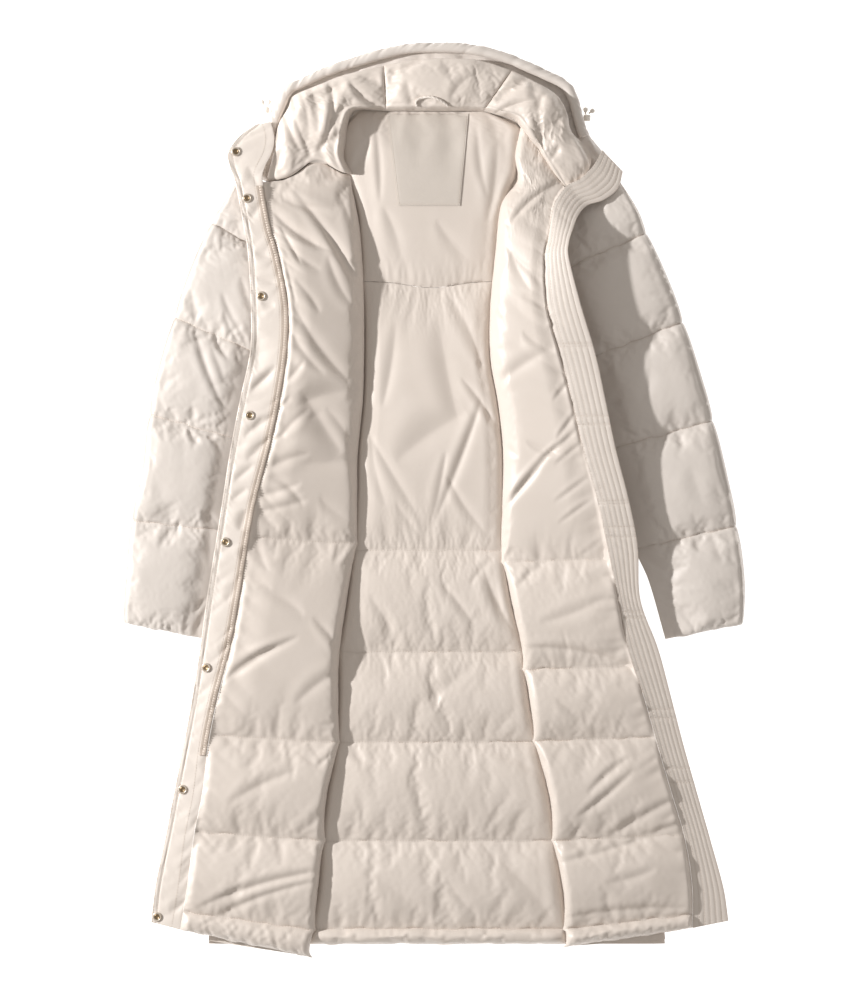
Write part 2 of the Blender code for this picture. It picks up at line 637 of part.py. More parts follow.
def turned(name, look, profile, steps, place, axis):
    """Profile of radius and height (mm) turned round its axis, set at a place (metres)."""
    data = bpy.data.meshes.new(name)
    points = [(radius * MM, 0, height * MM) for radius, height in reversed(profile)]
    data.from_pydata(points, [(i, i + 1) for i in range(len(points) - 1)], [])
    piece = add_object(name, data, look)
    screw = piece.modifiers.new("Turned", "SCREW")
    screw.steps = screw.render_steps = steps
    screw.use_merge_vertices = True
    screw.merge_threshold = 0.00001
    piece.location = place
    piece.rotation_mode = "QUATERNION"
    piece.rotation_quaternion = Vector(axis).to_track_quat("Z", "Y")
    return piece


def snap(name, look, tree, x, y):
    """Press stud: a turned ring with a sunk socket, square to the placket."""
    profile = ((0, 0), (SNAP_RADIUS, 0), (SNAP_RADIUS, 1.2), (SNAP_RADIUS - 1.6, SNAP_HEIGHT),
               (SNAP_SOCKET, SNAP_HEIGHT - 0.5), (0, SNAP_HEIGHT - 1.2))
    place, normal = seat(tree, x, y, SNAP_RADIUS)
    return turned(name, look, profile, 12, place, normal)


def cord_lock(side, lock_look, cord_look):
    """Cord lock on the hood's rim, and the two cord ends that come out of its top."""
    (x, y), ends = LOCKS[side]
    barrel = ((0, 0), (LOCK_RADIUS - 1, 0), (LOCK_RADIUS, 1), (LOCK_RADIUS, LOCK_LENGTH - 1),
              (LOCK_RADIUS - 1, LOCK_LENGTH), (0, LOCK_LENGTH))
    height = LOCK_FLOOR + LOCK_RADIUS
    base = Vector(grid(x, y - LOCK_LENGTH / 2, height))
    turned(f"cord_lock_{side}", lock_look, barrel, 12, base, (0, 1, 0))
    for number, (end_x, end_y) in enumerate(ends, 1):
        aside = math.copysign(CORD_SPREAD, end_x - x)
        top = Vector(grid(x + aside, y + LOCK_LENGTH / 2, height))
        axis = (Vector(grid(end_x, end_y, height)) - top).normalized()
        start = top + Vector((0, SEAM_GAP + CORD_END[1][0] * abs(axis.x), 0)) * MM
        turned(f"cord_end_{side}_{number}", cord_look, CORD_END, 8, start, axis)


# ---------------------------------------------------------------- the coat
def build_coat():
    """Make every piece of the coat in order, from the panels that carry to the trims."""
    lining = material("glossy_lining", (0.70, 0.63, 0.56), 0.38)
    shell = material("satin_shell", (0.76, 0.71, 0.66), 0.55)
    trim = material("stitched_facing", (0.80, 0.75, 0.69), 0.5)
    zip_look = material("coil_zip", (0.62, 0.55, 0.48), 0.5)
    metal = material("coated_snap", (0.66, 0.58, 0.50), 0.35, 0.4)
    plastic = material("moulded_lock", (0.75, 0.69, 0.62), 0.4)

    yoke_split = BACK_SEAMS.index(305)
    back_panel("back_panel", BACK_SEAMS[yoke_split:], lining)
    yoke = back_panel("back_yoke", (*BACK_SEAMS[:yoke_split], BACK_SEAMS[yoke_split] + SEAM_GAP), lining)

    right = front_grids(RIGHT_FRONT, RIGHT_FRONT_SEAMS, RIGHT_FOLDS, RIGHT_CROWN)
    left = front_grids(LEFT_FRONT, LEFT_FRONT_SEAMS, LEFT_FOLDS, LEFT_CROWN)
    wall("front_right", lining, right[0], right[1])
    wall("front_left", lining, left[0], left[1])

    right_rows = placket_rows(right[2], RIGHT_COLLAR)
    left_rows = placket_rows(left[2], LEFT_COLLAR)
    flat = np.array((0, .14, .5, .86, 1))
    crown = PLACKET_CROWN * np.array((0, 1, 1, 1, -1))
    placket = strip("placket_right", trim, right_rows, flat, crown, PLACKET_WALL)
    ridges = np.linspace(0, 1, 2 * FLAP_RIDGES + 1)
    relief = FLAP_RIDGE_HEIGHT * (np.arange(len(ridges)) % 2)
    strip("placket_left", trim, left_rows, ridges, relief, FLAP_WALL, FLAP_LEVELLING)
    zip_half(zip_look, {name: column[:, 0] for name, column in right_rows.items()})

    sleeve("sleeve_right", shell, RIGHT_SLEEVE)
    sleeve("sleeve_left", shell, LEFT_SLEEVE)

    for name, first, last in zip(("hood_side_right", "hood_centre", "hood_side_left"),
                                 HOOD_SEAMS[:-1], HOOD_SEAMS[1:]):
        hood_panel(name, lining, first, last)
    hood_shell(shell)
    hood_band(shell)

    label_patch(trim, yoke)
    hanger_loop(trim, bpy.data.objects["hood_centre"])
    placket_top = surface(placket)
    for number, (x, y) in enumerate(SNAPS, 1):
        snap(f"snap_{number}", metal, placket_top, x, y)
    for side in LOCKS:
        cord_lock(side, plastic, trim)


for old in list(bpy.data.objects):
    bpy.data.objects.remove(old, do_unlink=True)
coat = bpy.data.collections.new("long_puffer_coat")
bpy.context.scene.collection.children.link(coat)
build_coat()
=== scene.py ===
"""Looks of a long hooded puffer coat that lies open on its back, lining up.

Each padded piece is one face worked out as rows along the piece and columns across it. The
face is blown up by a short cloth simulation in which its seams are held, then it gets its
creases and the gathers along its seams, and it is closed by a plain inner face. Tables are in
millimetres about the tables' own centre, meshes are in metres, +Z is up, +Y runs from the hem
to the hood, and "right" and "left" are the wearer's.
"""
import logging
import math
from dataclasses import dataclass, replace
from enum import Enum

import bpy
import numpy as np
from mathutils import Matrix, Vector
from mathutils.bvhtree import BVHTree


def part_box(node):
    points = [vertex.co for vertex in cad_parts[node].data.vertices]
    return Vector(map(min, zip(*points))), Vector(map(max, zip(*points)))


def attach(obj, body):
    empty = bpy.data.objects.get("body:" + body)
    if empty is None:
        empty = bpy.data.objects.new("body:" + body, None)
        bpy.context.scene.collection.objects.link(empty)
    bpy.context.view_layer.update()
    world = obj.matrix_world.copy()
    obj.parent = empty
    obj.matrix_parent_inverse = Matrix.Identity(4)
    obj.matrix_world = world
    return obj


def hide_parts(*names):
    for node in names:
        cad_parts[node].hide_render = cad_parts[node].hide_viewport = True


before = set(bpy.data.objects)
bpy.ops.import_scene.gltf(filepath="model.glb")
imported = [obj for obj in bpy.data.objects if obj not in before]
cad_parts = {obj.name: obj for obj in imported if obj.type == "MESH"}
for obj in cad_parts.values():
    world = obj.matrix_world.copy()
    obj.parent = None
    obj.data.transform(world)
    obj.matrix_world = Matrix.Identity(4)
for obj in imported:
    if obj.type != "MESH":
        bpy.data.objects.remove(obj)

LOG = logging.getLogger("coat")
MM = 0.001
SHIFT = np.array((1.5, -2.4, 0.0))
Array = np.ndarray
Source = tuple[str, tuple[tuple[float, ...], ...]]
Profile = tuple[tuple[float, float], ...]


class Slot(Enum):
    """Finish slot that a piece belongs to."""

    LINING = "lining"
    SHELL = "shell"
    FACING = "facing"
    ZIP = "zip"
    SNAP = "snap"
    LOCK = "lock"


# ---------------------------------------------------------------- cut of the coat (mm)
BACK: Source = ("y side_right open_right open_left side_left", (
    (546.5, -110, -100, 68, 97), (524, -141, -122, 114, 131), (503, -173, -127, 118, 158),
    (462, -233, -124, 114, 216), (436, -229, -114, 104, 200), (400, -213, -104, 92, 176),
    (377, -203, -102, 88, 166), (335, -196, -98, 83, 161), (265, -201, -95, 76, 168),
    (197, -228, -95, 76, 197), (137, -250, -97, 87, 217), (69, -263, -104, 94, 235),
    (1, -271, -106, 94, 254), (-67, -277, -111, 95, 275), (-139, -282, -120, 106, 281),
    (-209, -288, -130, 122, 287), (-279, -292, -132, 132, 292), (-343, -298, -136, 143, 298),
    (-412, -303, -148, 160, 303), (-477, -308, -155, 168, 310), (-547, -312, -161, 179, 316),
    (-619, -315, -175, 184, 323)))
FRONT_COLUMNS = ("root_x root_y fold_x fold_y edge_x edge_y outer_x outer_y "
                 "fold_top edge_top outer_top")
RIGHT_FRONT: Source = (FRONT_COLUMNS, (
    (-230, 440, -120, 454, -238, 444, -277, 444, 38, 50, 49),
    (-203, 377, -104, 391, -227, 382, -265, 382, 38, 53, 52),
    (-196, 335, -98, 337, -216, 343, -259, 343, 37, 56, 54),
    (-201, 267, -95, 270, -203, 273, -255, 273, 36, 57, 54),
    (-228, 197, -95, 197, -204, 209, -256, 209, 36, 57, 54),
    (-250, 137, -97, 136, -214, 141, -270, 141, 36, 57, 54),
    (-263, 69, -104, 64, -228, 74, -283, 74, 36, 56, 53),
    (-271, 1, -106, -1, -246, 4, -294, 4, 37, 54, 51),
    (-277, -67, -111, -69, -258, -59, -304, -59, 38, 52, 49),
    (-282, -139, -120, -139, -270, -133, -316, -133, 39, 49, 45),
    (-288, -209, -130, -214, -283, -203, -326, -203, 39, 46, 41),
    (-292, -279, -132, -279, -301, -273, -337, -273, 39, 44, 38),
    (-298, -343, -136, -349, -314, -337, -349, -337, 39, 41, 35),
    (-303, -412, -148, -414, -323, -407, -363, -407, 38, 39, 33),
    (-308, -477, -155, -483, -335, -469, -375, -469, 38, 37, 31),
    (-312, -547, -161, -549, -344, -536, -389, -536, 37, 34, 29),
    (-315, -614, -174, -636, -354, -598, -395, -588, 34, 30, 26)))
LEFT_FRONT: Source = (FRONT_COLUMNS, (
    (142, 498, 125, 527, 184, 439, 213, 411, 44, 48, 50),
    (148, 461, 113, 484, 168, 416, 200, 396, 47, 55, 62),
    (162, 414, 115, 448, 162, 391, 192, 375, 50, 62, 76),
    (165, 371, 92, 413, 158, 365, 187, 358, 52, 68, 84),
    (161, 332, 83, 343, 153, 335, 187, 336, 54, 72, 88),
    (168, 265, 76, 273, 157, 270, 203, 273, 54, 73, 87),
    (197, 195, 76, 200, 175, 202, 224, 203, 53, 71, 79),
    (217, 137, 87, 134, 191, 139, 238, 139, 50, 70, 77),
    (235, 69, 94, 69, 207, 71, 252, 73, 48, 68, 74),
    (254, 1, 94, -1, 227, 1, 270, 3, 46, 64, 68),
    (275, -67, 95, -69, 241, -63, 283, -63, 44, 59, 60),
    (281, -139, 106, -139, 256, -136, 287, -137, 42, 53, 52),
    (287, -209, 122, -211, 270, -206, 312, -206, 42, 48, 46),
    (292, -279, 132, -281, 293, -276, 331, -276, 42, 43, 40),
    (298, -343, 143, -346, 311, -340, 348, -341, 42, 38, 35),
    (303, -412, 160, -416, 332, -410, 368, -411, 42, 34, 31),
    (310, -477, 168, -482, 350, -472, 386, -474, 41, 30, 28),
    (316, -547, 179, -549, 360, -536, 404, -540, 40, 27, 25),
    (323, -612, 184, -622, 361, -596, 411, -586, 38, 24, 22)))
COLLAR_COLUMNS = "edge_x edge_y outer_x outer_y edge_top outer_top"
RIGHT_COLLAR: Source = (COLLAR_COLUMNS, (
    (-227, 528, -249, 525, 37, 34), (-222, 505, -272, 508, 40, 38),
    (-226, 484, -287, 486, 44, 43), (-236, 463, -284, 463, 49, 47)))
LEFT_COLLAR: Source = (COLLAR_COLUMNS, (
    (234, 489, 263, 459, 43, 38), (222, 468, 256, 435, 45, 42), (203, 449, 236, 419, 47, 46)))
SLEEVE_COLUMNS = "outer_x outer_y inner_x inner_y crown"
RIGHT_SLEEVE: Source = (SLEEVE_COLUMNS, (
    (-263, 459, -248, 462, 22), (-281, 440, -225, 421, 30), (-298, 414, -204, 374, 38),
    (-315, 391, -198, 326, 44), (-342, 330, -205, 259, 45), (-368, 259, -231, 199, 46),
    (-388, 186, -253, 137, 46), (-403, 122, -265, 84, 46), (-410, 49, -276, 20, 46),
    (-427, -27, -288, -42, 46), (-433, -104, -300, -122, 46), (-438, -169, -318, -193, 44)))
LEFT_SLEEVE: Source = (SLEEVE_COLUMNS, (
    (252, 459, 232, 464, 22), (266, 438, 194, 421, 34), (286, 405, 169, 374, 41),
    (300, 375, 163, 316, 43), (328, 309, 174, 253, 44), (351, 251, 199.4, 192, 44),
    (372, 181, 221, 133, 44), (393, 113, 238, 70, 44), (410, 36, 258, 1, 44),
    (426, -34, 280, -67, 44), (434, -108, 300, -113, 44), (435, -171, 323, -193, 42)))
HOOD: Source = ("inner_x inner_y outer_x outer_y crown", (
    (-120, 454.6, -234, 446, 48), (-130, 477, -223, 488, 50), (-128, 505, -217, 523, 52),
    (-125, 525, -203, 548, 52), (-118, 543, -196, 564, 50), (-104, 548, -168, 577, 48),
    (-87, 548, -123, 594, 44), (-67, 548, -70, 607, 40), (-34, 548, -31, 614, 42),
    (0, 548, 8, 617, 42), (29, 548, 48, 616, 42), (52, 548, 73, 612, 40),
    (71, 547, 108, 600, 44), (92, 541, 143, 583, 48), (113, 535, 168, 568, 50),
    (124, 523, 179, 554, 52), (138, 504, 186, 538, 52), (152, 482, 192, 514, 50),
    (163, 464, 217, 485, 50), (184, 433, 216, 454, 48)))
HOOD_SHELL: Source = ("inner_x inner_y outer_x outer_y", (
    (-228, 444, -274, 466), (-214, 464, -262, 488), (-196, 485, -248, 515), (-172, 508, -234, 533),
    (-140, 530, -219, 564), (-107, 545.6, -188, 589), (-70, 544.6, -127, 616),
    (-20, 544.6, -50, 637), (30, 544.6, 44, 638), (86, 547, 127, 615), (124, 529, 189, 582),
    (156, 508, 203, 556), (178, 486, 213, 520), (206, 460, 240, 482), (212, 440, 258, 462)))
BAND_ROUTE: Source = ("x y", (
    (-229, 512), (-222, 532), (-214, 553), (-203, 574), (-186, 583), (-157, 597), (-123, 609),
    (-90, 619), (-60, 627), (-33, 632), (8, 633), (49, 631), (97, 620), (151, 597),
    (182, 581), (194, 562), (200, 540), (205, 522), (210, 509)))
LOOP_ROUTE: Source = ("x y", (
    (-24, 549.5), (-25, 556), (-18, 561), (-4, 562), (10, 557), (20, 549.5)))

# Soft folds and creases: from (x0, y0) to (x1, y1), bowed aside by bow, a trough of
# half_width and depth with a soft ridge beside it on the side of half_width's sign.
CREASE_COLUMNS = "x0 y0 x1 y1 bow half_width depth"
BACK_FOLDS: Source = (CREASE_COLUMNS, (
    (3, 281, 34, 111, 3, 14.4, 3.5), (17, 300, 71, 183, -3, 8.1, 4),
    (59, 192, 84, 189, 0, -4.5, 2), (38, 172, 97, 90, -3, 5.4, 3),
    (-53, 55, 44, 124, -4, -19.2, 4), (17, 70, -10, -45, -3, 5.4, 2.5),
    (67, 144, -6, -45, -3, 6.3, 3.5), (19, 35, 99, -70, 7, 6.3, 3.5),
    (68, -90, 115, -187, 4, 8.1, 4.5), (-93, 97, -12, -38, 0, 7.2, 2.5),
    (-53, -2, 1, -70, 3, 5.4, 2.5), (9, -114, 58, -178, -3, 6.3, 2.5),
    (50, -117, 95, -67, -3, -5.4, 2.5), (-128, -340, -82, -368, 3, 6.3, 2.5),
    (34, -345, 127, -352, -7, -6.3, 2.5), (68, -342, 165, -394, -6, 7.2, 2.5),
    (-115, -441, -16, -486, 7, 7.2, 2.5), (67, -474, 188, -622, -8, 14.4, 3.5),
    (-51, -201, -91, -132, 4, -8.1, 2.5), (-12, -284, 57, -228, 0, -12, 2.5),
    (-84, -522, 3, -609, -7, 12, 2.5), (-66, -9, -89, 95, -4, -7.2, 2),
    (-90, 508, -119, 452, -3, 6.3, 3), (-83, 533, -75, 417, -3, 4.5, 2),
    (-109, 549, -97, 504, 0, 4.5, 2), (60, 542, 74, 424, 4, 5.4, 2),
    (88, 502, 74, 389, -4, 7.2, 2.5), (3, 393, 62, 325, 4, 8.1, 2.5),
    (-71, 412, -45, 336, -4, 8.1, 2.5), (-53, 251, -72, 130, -3, 8.1, 2.5),
    (152, -285, 117, -216, -3, -7.2, 2.5), (18, -525, 63, -581, 4, 7.2, 2.5)))
RIGHT_FOLDS: Source = (CREASE_COLUMNS, (
    (-203, 442, -87, 274, -7, 6.3, 4.5), (-228, 427, -132, 408, 6, -5.4, 3.5),
    (-224, 403, -137, 346, 7, 5.4, 3.5), (-151, 379, -95, 243, -7, 7.2, 3),
    (-200, 282, -115, 164, 6, 8.1, 3.5), (-135, 435, -96, 299, -7, 6.3, 2.5),
    (-225, 51, -95, 61, 3, -14.4, 3.5), (-230, 36, -181, -7, -6, 5.4, 3),
    (-257, -16, -174, 3, 3, -5.4, 2.5), (-251, -41, -230, -98, 3, 5.4, 2.5),
    (-142, -85, -107, -47, 0, -6.3, 2.5), (-293, -253, -215, -201, -6, -5.4, 3.5),
    (-281, -246, -188, -189, -4, -5.4, 3), (-169, -162, -129, -214, -4, 5.4, 2.5),
    (-191, -349, -159, -372, 0, 4.5, 2), (-139, -349, -165, -372, 0, 4.5, 2),
    (-336, -571, -147, -514, -8, -6.3, 3.5), (-334, -599, -155, -529, -10, -5.4, 3),
    (-208, 455, -139, 443, 6, -4.5, 3), (-203, 124, -105, 156, -6, -14.4, 3),
    (-247, -121, -181, -159, -6, 8.1, 2.5), (-195, -284, -117, -228, -4, -8.1, 2.5),
    (-288, -423, -192, -375, -4, -8.1, 2.5), (-141, -413, -193, -469, -4, 7.2, 2.5),
    (-209, 341, -192, 275, 0, 3.6, 2), (-214, 382, -185, 330, 0, 3.6, 2.5),
    (-233, 110, -198, 145, 0, -3.6, 2), (-244, 69, -206, 96, 0, -3.6, 2),
    (-217, 430, -141, 399, 5, -6.5, 3), (-219, 388, -161, 355, -4, 7, 2.6),
    (-198, 352, -158, 322, 3, 5.5, 2.4), (-193, 307, -158, 262, -3, 6, 2.4),
    (-148, 343, -106, 262, 5, 6.5, 2.2), (-199, 237, -152, 176, 4, 6, 2.4),
    (-232, 44, -172, 66, -3, 6, 2.6), (-250, 6, -184, 26, 3, 5.5, 2.6),
    (-213, 88, -172, 128, -3, 5.5, 2.2), (-212, 160, -180, 196, 2, 4.5, 2),
    (-150, 130, -104, 60, -4, 7, 2), (-262, -60, -214, -78, 3, 6, 2.2),
    (-268, -104, -226, -122, -3, 5.5, 2), (-160, 6, -112, -30, 4, 7, 2),
    (-185, 155, -128, 66, 0, 16, 5)))
LEFT_FOLDS: Source = (CREASE_COLUMNS, (
    (88, -26, 173, 80, -3, -4, 4), (103, -3, 149, 47, 0, -4.5, 2.5),
    (128, 83, 182, 64, 3, 4.5, 2.5), (96, 77, 118, 60, 0, 4.5, 2),
    (115, -120, 158, -79, -1, -4.5, 3), (120, -205, 297, -245, -13, -6.3, 4),
    (123, 235, 168, 206, 3, 5.4, 2.5), (169, 85, 204, 132, 0, -2.9, 2.5),
    (144, 57, 202, 104, 3, -2.9, 2.5), (167, 50, 210, 85, 0, -2.9, 2.5),
    (166, -2, 218, 37, 1, -3.1, 2.5), (171, -33, 223, 5, 0, -2.9, 2.5),
    (164, 138, 193, 173, 0, -2.9, 2), (193, -86, 237, -51, 0, -3.2, 2),
    (157, 237, 185, 258, 0, -3.1, 2), (214, -408, 273, -356, -3, -4.5, 3),
    (198, -442, 279, -373, 3, -5.4, 3.5), (217, -489, 349, -409, -4, -6.3, 3.5),
    (164, -506, 365, -439, 6, -6.3, 4), (169, -585, 360, -568, -6, -5.4, 2.5),
    (191, -606, 361, -577, -3, -4.5, 2), (106, 386, 195, 448, -11, -5.4, 4.5),
    (115, 404, 171, 367, 4, 12, 2.5), (122, 285, 182, 247, -4, 8.1, 2),
    (92, 165, 167, 213, -4, -8.1, 2.5), (170, -275, 239, -313, 6, 8.1, 2.5),
    (146, -170, 242, -132, 4, -8.1, 2.5), (240, -533, 309, -512, 3, -7.2, 2.5),
    (169, 360, 190, 273, -3, 5.4, 2.5), (106, 346, 137, 290, 4, 7.2, 2.5)))
SLEEVE_FOLDS: Source = (CREASE_COLUMNS, (
    (-345, 246, -337, 220, 0, 4.4, 1.8), (-336, 251, -291, 127, 4, 5.5, 3),
    (-307, 235, -285, 197, 3, 4.4, 2.4), (-310, 217, -289, 163, 0, 5.5, 1.8),
    (-338, 297, -333, 247, 0, 5.5, 2.4), (-293, 265, -271, 220, 3, 4.4, 3),
    (-295, 291, -260, 221, 3, 5.5, 2.4), (-269, 312, -255, 267, 0, 5.5, 1.8),
    (-305, 381, -308, 348, 0, 4.4, 1.8), (-295, 381, -295, 354, 0, 4.4, 1.8),
    (-368, 132, -368, 110, 0, 4.4, 1.8), (-338, 132, -333, 110, 0, 4.4, 1.8),
    (-343, 103, -329, 79, 0, 4.4, 2.4), (-329, 99, -303, 85, 0, 4.4, 2.4),
    (-380, 110, -375, 83, 0, 4.4, 1.8), (-324, -12, -308, -36, 0, 5.5, 3),
    (-317, -13, -296, -40, 0, 4.4, 2.4), (-362, -29, -383, -67, 0, 5.5, 2.4),
    (-352, -26, -371, -64, 0, 4.4, 1.8), (-315, -32, -315, -91, -3, 6.6, 1.8),
    (-318, -135, -335, -159, 0, 4.4, 3), (-317, -146, -338, -181, -3, 4.4, 3),
    (-319, -164, -339, -193, 0, 4.4, 2.4), (-400, 95, -374, -9, 4, 15.4, 1.8),
    (224, 313, 193, 318, 0, 5.5, 1.8), (230, 345, 230, 327, 0, 4.4, 1.8),
    (236, 344, 255, 338, 0, 4.4, 1.8), (271, 233, 276, 215, 0, 4.4, 1.8),
    (310, 251, 314, 234, 0, 4.4, 1.8), (237, 135, 261, 139, 1, -5.5, 3),
    (363, 138, 369, 105, 0, 5.5, 1.8), (341, 96, 346, 73, 0, 4.4, 1.8),
    (366, 96, 376, 69, 0, 5.5, 1.8), (362, -48, 369, -71, 0, 5.5, 1.8),
    (386, -45, 402, -87, 0, 6.6, 2.4), (410, -39, 423, -59, 0, 4.4, 1.8),
    (283, -72, 339, -105, 3, 5.5, 2.4), (311, -116, 337, -119, 1, -4.4, 2.4),
    (311, -131, 339, -138, 1, 4.4, 2.4), (312, -144, 339, -149, 1, -4.4, 2.4),
    (316, -158, 332, -177, 0, 4.4, 2.4), (394, -164, 378, -189, 0, 5.5, 2.4),
    (301, 185, 287, 137, -3, 8.8, 1.8), (357, 48, 374, -4, 0, 11, 1.8)))
HOOD_FOLDS: Source = (CREASE_COLUMNS, (
    (-148, 588, -162, 484, -14, 5.8, 3.6), (-210, 542, -181, 481, 3, 5.8, 3),
    (-194, 533, -170, 476, 0, 5.2, 2.4), (-121, 560, -147, 513, 0, 5.8, 2.4),
    (-124, 518, -163, 490, -3, 6.9, 2.4), (-120, 589, -65, 546, 7, 5.2, 3),
    (-201, 568, -191, 542, 0, 4.6, 1.8), (-173, 579, -161, 513, -4, 8, 1.8),
    (-186, 571, -175, 498, -4, 6.9, 1.8), (135, 590, 85, 555, 3, 5.8, 3),
    (140, 558, 84, 539, 3, 4.6, 2.4), (132, 594, 146, 487, -6, 6.9, 2.4),
    (177, 565, 145, 485, -3, 10.3, 3), (150, 568, 147, 545, 0, 4.6, 1.8),
    (175, 496, 163, 474, 0, 5.8, 2.4), (197, 509, 227, 455, -3, 4.6, 2.4),
    (-235, 534, -248, 484, -3, 4.6, 2.4), (-214, 530, -227, 489, -3, 4.6, 2.4),
    (-214, 490, -219, 464, 0, 4.6, 2.4), (-263, 491, -246, 465, 0, 5.8, 1.8),
    (-66, 595, -5, 620, 0, -4.6, 2.4), (-39, 587, -30, 552, 0, 6.9, 1.8),
    (53, 593, 22, 558, 3, 6.9, 1.8), (97, 538, 123, 521, 0, 5.8, 1.8),
    (186, 547, 169, 520, 0, 5.8, 1.8)))
PLACKET_FOLDS: Source = (CREASE_COLUMNS, (
    (-249, 345, -224, 337, -1, 5.6, 1.4), (-247, 310, -212, 300, -1, 5.6, 1.5),
    (-240, 276, -221, 271, 0, 5.6, 1.2), (-245, 238, -245, 178, 0, 12.6, 2),
    (-219, 188, -254, 155, -1, 5.6, 1.7), (-225, 178, -256, 150, 0, 5.6, 1.4),
    (-224, 120, -252, 97, 0, 5.6, 1.5), (-237, 116, -264, 88, 0, 5.6, 1.5),
    (-228, 88, -261, 57, -1, 7, 1.9), (-251, 50, -278, 27, 0, 5.6, 1.4),
    (-260, 17, -282, 1, 0, 5.6, 1.4), (-261, -11, -270, -42, 0, 7, 1.9),
    (-261, -62, -268, -83, 0, 5.6, 1.4), (-273, -114, -289, -141, 0, 7, 1.2),
    (-278, -193, -299, -213, 0, 7, 1.2), (-286, -262, -307, -290, 0, 7, 1.3),
    (-304, -348, -321, -380, 0, 7, 1.4), (-317, -433, -338, -454, 0, 7, 1.3),
    (-331, -497, -352, -525, 0, 7, 1.3), (-345, -557, -369, -574, 0, 7, 1.2),
    (-239, 417, -256, 388, 0, 7, 1.4), (-259, 466, -245, 438, 0, 7, 1.2)))

# Turned pieces: radius and height of each ring, from the foot up.
STUD_RING: Profile = ((6.5, 0), (6.6, 0.9), (6.3, 1.8), (5.6, 2.35), (4.7, 2.3), (4.1, 1.8),
                      (3.9, 0.9), (3.8, 0.3))
STUD_SOCKET: Profile = ((3.95, 0.2), (3.9, 1.3), (3.4, 1.75), (2.7, 1.7), (2.2, 1.3), (1.9, 0.6),
                        (1.2, 0.5))
LOCK_BARREL: Profile = ((3.6, 0), (4.4, 0.3), (4.9, 1.0), (5.0, 2.6), (4.7, 3.0), (4.7, 3.5),
                        (5.0, 3.9), (5.0, 7.6), (4.6, 8.4), (3.4, 8.9), (1.5, 9.0))
CORD_END: Profile = ((1.2, 0), (1.3, 0.4), (1.3, 3.0), (2.1, 3.5), (2.9, 4.6), (3.3, 5.6),
                     (3.3, 7.2), (3.0, 8.6), (2.2, 9.5), (0.8, 9.8))
# Middle of each cord lock, and the tips of its two cord ends.
LOCKS = {"right": ((-235.2, 547), ((-243, 562), (-229, 564))),
         "left": ((214, 536), ((212, 553), (228, 549)))}


# ---------------------------------------------------------------- curves and tables
def blend_rows(count: int, places: Array) -> Array:
    """Weights that read evenly spaced samples at places between them.

    Formula: Catmull-Rom, whose four shares of t are (2t^2 - t - t^3)/2, (2 - 5t^2 + 3t^3)/2,
    (t + 4t^2 - 3t^3)/2 and (t^3 - t^2)/2; the rows past each end go on straight.

    Args:
        count: Number of samples.
        places: Positions from 0 to count - 1.

    Returns:
        Matrix of len(places) x count weights.
    """
    ends = np.eye(count + 2, count, k=-1)
    ends[0, :2] = 2, -1
    ends[-1, -2:] = -1, 2
    base = np.clip(places.astype(int), 0, count - 2)
    t = places - base
    shares = ((2 * t ** 2 - t - t ** 3) / 2, (2 - 5 * t ** 2 + 3 * t ** 3) / 2,
              (t + 4 * t ** 2 - 3 * t ** 3) / 2, (t ** 3 - t ** 2) / 2)
    weights = np.zeros((len(places), count + 2))
    for step, share in enumerate(shares):
        weights[np.arange(len(places)), base + step] = share
    return weights @ ends


def curve_through(knots: Array, values: Array, at: Array) -> Array:
    """Smooth curve through uneven knots.

    Formula: cubic Hermite between knots, with each knot's slope from its neighbours.

    Args:
        knots: Rising places of the values.
        values: Value at each knot.
        at: Places to read.

    Returns:
        Values at the places.
    """
    knots, values = np.asarray(knots, dtype=float), np.asarray(values, dtype=float)
    slopes = np.gradient(values, knots)
    base = np.clip(np.searchsorted(knots, at) - 1, 0, len(knots) - 2)
    width = knots[base + 1] - knots[base]
    t = np.clip((at - knots[base]) / width, 0, 1)
    start, end = values[base], values[base + 1]
    lift = t ** 2 * (3 - 2 * t)
    return (start + (end - start) * lift + width * t * (1 - t) ** 2 * slopes[base]
            - width * t ** 2 * (1 - t) * slopes[base + 1])


class Table:
    """Rows with named columns, read between rows on smooth curves."""

    def __init__(self, source: Source) -> None:
        """Take the named columns and the rows of a source."""
        names, rows = source
        self.names = names.split()
        self.rows = np.array(rows, dtype=float)

    def __getattr__(self, name: str) -> Array:
        """Column of that name."""
        return self.rows[:, self.names.index(name)]

    def at(self, places: Array) -> dict[str, Array]:
        """Columns at the row positions, each as a column vector."""
        read = blend_rows(len(self.rows), np.clip(places, 0, len(self.rows) - 1)) @ self.rows
        return {name: read[:, index:index + 1] for index, name in enumerate(self.names)}

    def spread(self, count: int) -> dict[str, Array]:
        """Columns at count evenly spaced row positions."""
        return self.at(np.linspace(0, len(self.rows) - 1, count))

    def middle(self) -> Array:
        """Plan points halfway between the inner and the outer edge."""
        return np.stack((self.inner_x + self.outer_x, self.inner_y + self.outer_y), axis=-1) / 2

    def find(self, name: str, value: float) -> float:
        """Row position at which a falling column takes the value."""
        return float(np.interp(-value, -getattr(self, name), np.arange(len(self.rows))))


